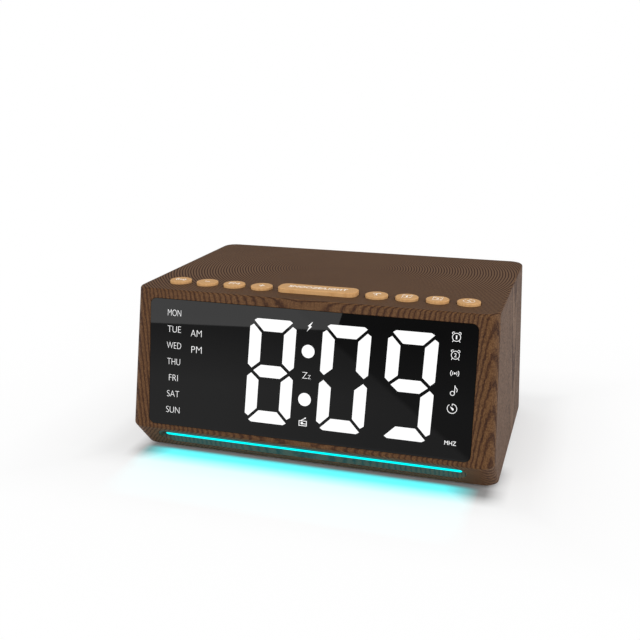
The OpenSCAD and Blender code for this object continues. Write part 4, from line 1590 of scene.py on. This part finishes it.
@dataclass(frozen=True)
class Screw:
    """A cross-head screw: a low dome with a cross pressed into it."""

    radius: float
    height: float
    dome: float = 0.12
    cross_w: float = 0.5
    cross_l: float = 0.62
    side_edge: float = 0.12
    end_edge: float = 0.15
    rim_w: float = 0.25
    rim_t: float = 0.15
    deep: float = 0.5
    rings: int = 30
    steps: int = 96

    def head(self) -> Shape:
        """Height over (r, t): the dome falls with r squared, and a cross is sunk where |x| or |y| is small.

        Returns:
            The head about the origin, with its seat at 0.
        """
        r = np.linspace(self.radius, 0, self.rings)[:, None]
        t = np.linspace(0, 2 * np.pi, self.steps, endpoint=False)
        x, y = r * np.cos(t), r * np.sin(t)
        arm = np.minimum(np.abs(x), np.abs(y))
        reach = np.maximum(np.abs(x), np.abs(y))
        across = np.clip((self.cross_w / 2 - arm) / self.side_edge + 0.5, 0, 1)
        along = np.clip((self.radius * self.cross_l - reach) / self.end_edge + 0.5, 0, 1)
        inside = across * along
        rim = np.clip((r - self.radius + self.rim_w) / self.rim_w, 0, 1)
        z = self.height - self.dome * (r / self.radius) ** 2
        z = z - self.deep * inside * inside * (3 - 2 * inside) - self.rim_t * rim * rim
        top = np.stack([x, y, z], -1)
        seat = np.stack([x[0], y[0], np.zeros(self.steps)], -1)[None]
        return loft(np.concatenate([seat, top]), True, False)


@dataclass(frozen=True)
class RearPanel:
    """The panel in the back: slots for the loudspeaker, the power inlet and four screws.

    Places are across the back and up from its foot.
    """

    width: float = 132.0
    height: float = 64.0
    corner_r: float = 4.0
    middle: float = 38.0
    thick: float = 1.5
    sunk: float = 0.1
    speaker_x: float = 27.0
    grille_r: float = 20.0
    slot_w: float = 2.6
    slot_break: float = 0.35
    slot_margin: float = 0.1
    slots: int = 9
    mouth_d: float = 8.4
    mouth_break: float = 0.5
    hole_x: float = 61.0
    hole_y: float = 25.0
    bore_d: float = 4.9
    bore_t: float = 0.9
    bore_break: float = 0.2
    through: float = 3.0
    gap: float = 0.15
    edge: float = 0.4
    screw: Screw = Screw(2.3, 0.72)
    pin_r: float = 1.08
    pin_l: float = 8.0
    pin_break: Pair = (0.4, 0.5)
    pin_back: float = 0.45

    @property
    def back(self) -> float:
        """Depth of the seat of the panel."""
        return self.thick + self.sunk

    def holes(self) -> list[Pair]:
        """Middles of the four screw holes, across and up the back."""
        places = product((-self.hole_x, self.hole_x), (-self.hole_y, self.hole_y))
        return [(x, self.middle + y) for x, y in places]

    def inlet(self) -> Place:
        """Where the frame has the mouth of the power inlet."""
        low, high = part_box("dc_jack")
        return (low.x + high.x) / 2 / MM, high.y / MM, (low.z + high.z) / 2 / MM

    def plate(self, back: Face) -> bpy.types.Object:
        """The plate with a rounded rim, cut by the slots, the mouth and the counterbores.

        Args:
            back: the back that it sits in.

        Returns:
            The piece.
        """
        levels = [(-self.gap, -self.back), (-self.gap, -self.sunk - self.edge)]
        levels += [(offset - self.gap, z) for offset, z in edge_round(self.edge, -self.sunk)]
        plate = stacked(self.width, self.height, self.corner_r, levels).moved(0, self.middle)
        piece = plate.on(back).build("speaker_panel")
        pitch = self.grille_r / (self.slots / 2 + self.slot_margin)
        cuts = []
        for i in range(self.slots):
            x = (i - (self.slots - 1) / 2) * pitch
            length = 2 * math.sqrt(self.grille_r ** 2 - x ** 2)
            slot = cutter(self.slot_w, length, self.slot_w / 2 - HAIR, -self.through, self.slot_break)
            cuts.append(slot.moved(self.speaker_x + x, self.middle, -self.sunk))
        x, _, z = self.inlet()
        mouth = cutter(self.mouth_d, self.mouth_d, self.mouth_d / 2 - HAIR, -self.through, self.mouth_break)
        cuts.append(mouth.moved(-x, z - back.origin[2], -self.sunk))
        bore = cutter(self.bore_d, self.bore_d, self.bore_d / 2 - HAIR, -self.bore_t, self.bore_break)
        cuts += [bore.moved(x, y, -self.sunk) for x, y in self.holes()]
        carve(piece, [joined(cuts).on(back)])
        return piece

    def build(self, finisher: Finisher, back: Face) -> None:
        """Makes the panel, its screws and the contact pin of the inlet.

        Args:
            finisher: gives the finish.
            back: the back that they sit in.
        """
        piece = self.plate(back)
        even_normals(piece)
        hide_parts("rear_panel")
        finisher.dress(piece, "panel_black", "clock")
        head = self.screw.head()
        heads = joined(head.moved(x, y, -self.sunk - self.bore_t) for x, y in self.holes())
        screws = heads.on(back).build("panel_screw_heads", CRISP)
        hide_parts("rear_panel_screws")
        finisher.dress(screws, "screw_black", "clock")
        x, y, z = self.inlet()
        r, length, (narrower, tip) = self.pin_r, self.pin_l, self.pin_break
        outline = [(0.0, 0.0), (r, 0.0), (r, length - tip), (r - narrower, length), (0.0, length)]
        along = Face((x, y - length - self.pin_back, z), (1, 0, 0), (0, 0, -1), (0, 1, 0))
        pin = turned(outline, 40).on(along).build("inlet_pin", CRISP)
        finisher.dress(pin, "screw_steel", "clock")


@dataclass(frozen=True)
class Underside:
    """Rubber feet and the screws of the base plate."""

    foot_d: float = 12.0
    foot_top: float = 3.0
    foot_edge: float = 0.9
    dimple: tuple[Pair, ...] = ((0.0, 0.35), (1.8, 0.3), (2.6, 0.0))
    screw: Screw = Screw(2.7, 1.4, deep=0.8)
    post_x: float = 83.5
    post_y: Pair = (-22.0, 37.8)
    seat_z: float = 3.7
    shank_z: float = 15.0
    shank_r: float = 1.25
    shank_in: float = 0.2

    def feet(self) -> Shape:
        """Four turned feet with a round edge and a shallow dimple below.

        Returns:
            The feet where the frame has them.
        """
        low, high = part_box("rubber_feet")
        r = self.foot_d / 2
        a = np.linspace(0, np.pi / 2, 7)
        edge = list(zip(r - self.foot_edge * (1 - np.sin(a)), self.foot_edge * (1 - np.cos(a))))
        foot = turned([*self.dimple, *edge, (r, self.foot_top), (0.0, self.foot_top)], 56)
        places = product((low.x / MM + r, high.x / MM - r), (low.y / MM + r, high.y / MM - r))
        return joined(foot.moved(x, y) for x, y in places)

    def screws(self) -> Shape:
        """Four screw heads that look down, with a plain shank above each.

        Returns:
            The screws below their posts.
        """
        down = Face((0, 0, self.seat_z), (1, 0, 0), (0, -1, 0), (0, 0, -1))
        low, high, r = self.seat_z - self.shank_in, self.shank_z, self.shank_r
        screw = self.screw.head().on(down) + turned([(0.0, low), (r, low), (r, high), (0.0, high)], 24)
        return joined(screw.moved(x, y) for x, y in product((-self.post_x, self.post_x), self.post_y))

    def build(self, finisher: Finisher) -> None:
        """Makes feet and screws.

        Args:
            finisher: gives the finish.
        """
        feet = self.feet().build("foot_pads", SOFT)
        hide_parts("rubber_feet")
        finisher.dress(feet, "foot_rubber", "clock")
        screws = self.screws().build("base_screw_heads", CRISP)
        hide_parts("base_screws")
        finisher.dress(screws, "screw_steel", "clock")


# The studio

@dataclass(frozen=True)
class Lamp:
    """A soft rectangular lamp that looks at a point."""

    name: str
    place: Place
    target: Place
    size: Pair
    power: float
    colour: Colour = WHITE

    def build(self) -> bpy.types.Object:
        """Hangs the lamp, out of the camera's own sight.

        Returns:
            The lamp.
        """
        light = bpy.data.lights.new(self.name, "AREA")
        light.shape, light.energy, light.color = "RECTANGLE", self.power, self.colour
        light.size, light.size_y = self.size
        lamp = bpy.data.objects.new(self.name, light)
        bpy.context.scene.collection.objects.link(lamp)
        lamp.location = self.place
        lamp.rotation_euler = (Vector(self.target) - Vector(self.place)).to_track_quat("-Z", "Y").to_euler()
        lamp.visible_camera = False
        return lamp


@dataclass(frozen=True)
class MirrorCard:
    """Tones of the screen that the lens mirrors, each fade as two levels and the places of both."""

    y: float = -0.2
    half: float = 0.3
    high: float = 0.12
    upward: Fade = (0.95, 0.42, 0.03, 0.075)
    rightward: Fade = (1.0, 0.72, -0.1, 0.03)
    corner: Fade = (1.0, 0.55, 0.064, 0.069)
    corner_lean: float = 1.435
    band: float = 2.0
    band_low: Fade = (0.0, 1.0, 0.0727, 0.0731)
    band_lean: float = -0.0433
    band_end: Fade = (1.0, 0.0, -0.0428, -0.0424)
    end_lean: float = -0.2545

    def material(self) -> bpy.types.Material:
        """Wires it: dimmer upwards, to the right and in the upper right corner, with a bright band at left.

        Returns:
            The material.
        """
        w = Wiring(bpy.data.materials.new("mirror card"))
        x, _, z = w.axes()
        dim = w.math("MULTIPLY", w.spread(z, *self.upward), w.spread(x, *self.rightward))
        corner = w.math("MULTIPLY_ADD", z, self.corner_lean, x)
        dim = w.math("MULTIPLY", dim, w.spread(corner, *self.corner))
        above = w.spread(w.math("MULTIPLY_ADD", x, self.band_lean, z), *self.band_low)
        within = w.spread(w.math("MULTIPLY_ADD", z, self.end_lean, x), *self.band_end)
        tone = w.math("MULTIPLY_ADD", w.math("MULTIPLY", above, within), self.band, dim)
        w.end(w.node("Emission", Color=WHITE, Strength=tone).outputs[0])
        return w.owner


@dataclass(frozen=True)
class Studio:
    """White floor, soft light and the camera, in metres.

    Places on the floor are measured from the clock's foot, a rectangle of foot_half about foot_middle.
    Three tables give levels by distance: lifts says how white the floor is made round the foot, the shade
    table how dark a painted shadow makes the strip before the foot, and the glow table how strong a painted
    cyan glow of the light bar is there.
    """

    eye: Place = (0.12792, -0.44392, 0.19510)
    tilt: float = 15.939
    turn: float = 17.351
    focal_px: float = 895.4
    image_px: int = 640
    sensor: float = 36.0
    clip: Pair = (0.01, 50.0)
    ambient: float = 0.72
    mirror: MirrorCard = MirrorCard()
    behind_y: float = 1.2
    behind_half: float = 2.5
    behind_high: float = 1.6
    behind_tone: float = 0.46
    lamp_set: tuple[Lamp, ...] = (
        Lamp("front lamp", (-0.35, -1.65, 0.68), (0, 0, 0.05), (1.2, 0.9), 17.0),
        Lamp("side lamp", (1.6, 0.15, 0.6), (0, 0, 0.05), (0.9, 0.9), 14.0),
    )
    floor_half: float = 6.0
    floor_tone: float = 0.86
    foot_half: Pair = (0.0928, 0.0579)
    foot_middle: float = 0.0079
    lifts: tuple[Pair, ...] = ((0.0, 0.45), (0.015, 0.5), (0.03, 0.75), (0.075, 0.95), (0.175, 1.0))
    # Places of the strip before and under the foot, and its tones by distance: there the floor's colour is
    # darkened as a painted shadow, and the white lift is taken off
    shade_beside: Pair = (-0.005, 0.006)
    shade_under: Pair = (-0.03, -0.02)
    shade_before: Pair = (0.006, 0.0185)
    painted_shades: tuple[Pair, ...] = ((-0.01, 0.53), (-0.002, 0.53), (0.001, 0.4), (0.007, 0.385), (0.0175, 0.86))
    # Painted light: colour, middle, reach and strength by distance of a cyan glow of the light bar painted on
    # the floor
    glow: Colour = (0.0, 0.95, 1.0)
    painted_glow_x: float = -0.0035
    painted_glow_half: Pair = (0.072, 0.0885)
    painted_glows: tuple[Pair, ...] = (
        (-0.0012, 0.0), (0.0022, 0.88), (0.008, 0.84), (0.016, 0.5), (0.026, 0.18), (0.058, 0.0),
    )

    def camera(self) -> None:
        """Puts up the camera without shift or roll."""
        lens = bpy.data.cameras.new("camera")
        lens.sensor_width, lens.lens = self.sensor, self.focal_px / self.image_px * self.sensor
        lens.clip_start, lens.clip_end = self.clip
        camera = bpy.data.objects.new("camera", lens)
        camera.location = self.eye
        camera.rotation_euler = (math.radians(90 - self.tilt), 0.0, math.radians(self.turn))
        bpy.context.scene.collection.objects.link(camera)
        bpy.context.scene.camera = camera

    def world(self) -> None:
        """Even white surroundings, seen as plain white."""
        world = bpy.data.worlds.new("surroundings")
        bpy.context.scene.world = world
        w = Wiring(world, "OutputWorld")
        light = w.node("Background", Color=WHITE, Strength=self.ambient).outputs[0]
        sight = w.node("Background", Color=WHITE, Strength=1.0).outputs[0]
        w.end(w.mixed(w.seen(), light, sight))

    def floor(self) -> None:
        """A white table top, the clock's shadow partly painted, a painted glow of the bar, plain white
        further off.
        """
        h = self.floor_half
        floor = self.sheet("floor", [(-h, -h, 0), (h, -h, 0), (h, h, 0), (-h, h, 0)])
        w = Surface("table white")
        x, y, _ = w.axes()
        beside = w.math("SUBTRACT", w.math("ABSOLUTE", x), self.foot_half[0])
        middle = w.math("SUBTRACT", self.foot_middle, y)
        before = w.math("SUBTRACT", middle, self.foot_half[1])
        around = w.math("SUBTRACT", w.math("ABSOLUTE", middle), self.foot_half[1])
        # Painted shadow: in the strip before and under the foot, the colour that camera and gloss see is
        # darkened by the shade table
        ahead = w.spread(before, 0.0, 1.0, *self.shade_under)
        near = w.math("MULTIPLY", w.spread(beside, 1.0, 0.0, *self.shade_beside), ahead)
        darker = w.math("SUBTRACT", self.levels(w, before, self.painted_shades), self.floor_tone)
        shade = w.math("MULTIPLY", w.math("MULTIPLY", near, w.seen()), darker)
        w.set(Base_Color=w.math("ADD", shade, self.floor_tone), Roughness=1.0, Specular_IOR_Level=0.0)
        clear = w.spread(w.math("MULTIPLY", near, w.spread(before, 1.0, 0.0, *self.shade_before)), 1.0, 0.0)
        lift = w.math("MULTIPLY", self.levels(w, w.math("MAXIMUM", beside, around), self.lifts), clear)
        white = w.node("Emission", Color=WHITE, Strength=1.0).outputs[0]
        plain = w.mixed(w.math("MULTIPLY", lift, w.seen()), w.shader.outputs[0], white)
        # Painted light: the floor itself gives off the light bar's cyan glow, for camera and gloss only
        side = w.math("ABSOLUTE", w.math("SUBTRACT", x, self.painted_glow_x))
        fading = w.spread(side, 1.0, 0.0, *self.painted_glow_half)
        glow = w.math("MULTIPLY", self.levels(w, before, self.painted_glows), fading)
        lit = w.node("Emission", Color=self.glow, Strength=w.math("MULTIPLY", glow, w.seen())).outputs[0]
        w.end(w.added(plain, lit))
        floor.data.materials.append(w.owner)

    def levels(self, w: Wiring, place: Socket, points: Sequence[Pair]) -> Socket:
        """Carries a place in metres to a level by straight steps between points.

        Args:
            w: the material.
            place: the place.
            points: places and their levels, in order.

        Returns:
            The level.
        """
        start, end = points[0][0], points[-1][0]
        steps = [((p - start) / (end - start), (level,) * 3) for p, level in points]
        return w.ramp(w.spread(place, 0.0, 1.0, start, end), steps)

    def sheet(self, name: str, corners: Sequence[Place]) -> bpy.types.Object:
        """A flat sheet of the stage.

        Args:
            name: its name.
            corners: its four corners in metres.

        Returns:
            The sheet.
        """
        mesh = bpy.data.meshes.new(name)
        mesh.from_pydata(corners, [], [(0, 1, 2, 3)])
        sheet = bpy.data.objects.new(name, mesh)
        bpy.context.scene.collection.objects.link(sheet)
        return sheet

    def cards(self) -> None:
        """Screens that only gloss mirrors: a patterned one before the lens and a dark one behind the top."""
        front = self.upright("mirror card", self.mirror.y, self.mirror.half, self.mirror.high)
        front.data.materials.append(self.mirror.material())
        behind = self.upright("dark card", self.behind_y, self.behind_half, self.behind_high)
        w = Wiring(bpy.data.materials.new("dark card"))
        w.end(w.node("Emission", Color=WHITE, Strength=self.behind_tone).outputs[0])
        behind.data.materials.append(w.owner)

    def upright(self, name: str, y: float, half: float, high: float) -> bpy.types.Object:
        """An upright screen across the stage that only gloss sees.

        Args:
            name: its name.
            y: its place along Y.
            half: half its width.
            high: its height above the floor.

        Returns:
            The screen.
        """
        card = self.sheet(name, [(-half, y, high), (half, y, high), (half, y, 0.0), (-half, y, 0.0)])
        for way in ("camera", "diffuse", "transmission", "shadow", "volume_scatter"):
            setattr(card, f"visible_{way}", False)
        return card

    def lamps(self) -> None:
        """A broad low lamp in front, and a weaker one to the right."""
        for lamp in self.lamp_set:
            lamp.build()

    def build(self) -> None:
        """Sets up everything round the clock."""
        self.camera()
        self.world()
        self.floor()
        self.cards()
        self.lamps()


def clear_start() -> None:
    """Removes what a new Blender file holds beside the frame."""
    kept = {o.name for o in frame["nodes"].values()} | {o.name for o in frame["bodies"].values()}
    for item in list(bpy.data.objects):
        if item.name not in kept:
            bpy.data.objects.remove(item)


def main() -> None:
    """Builds the clock round its frame and the studio round the clock."""
    logging.basicConfig(level=logging.INFO, format="%(name)s: %(message)s")
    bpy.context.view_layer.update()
    clear_start()
    finisher = Finisher()
    finisher.dress_nodes()
    cabinet, display, light, keys, panel = Cabinet(), Display(), LightLine(), Keypad(), RearPanel()
    cabinet.build(finisher, cabinet.openings(display, light, keys, panel))
    light.build(finisher, cabinet.sizes.slope)
    display.build(finisher, cabinet.sizes.front)
    keys.build(finisher)
    panel.build(finisher, cabinet.sizes.back)
    Underside().build(finisher)
    Studio().build()
    bpy.context.scene.view_settings.view_transform = "Standard"


if __name__ == "__main__":
    main()
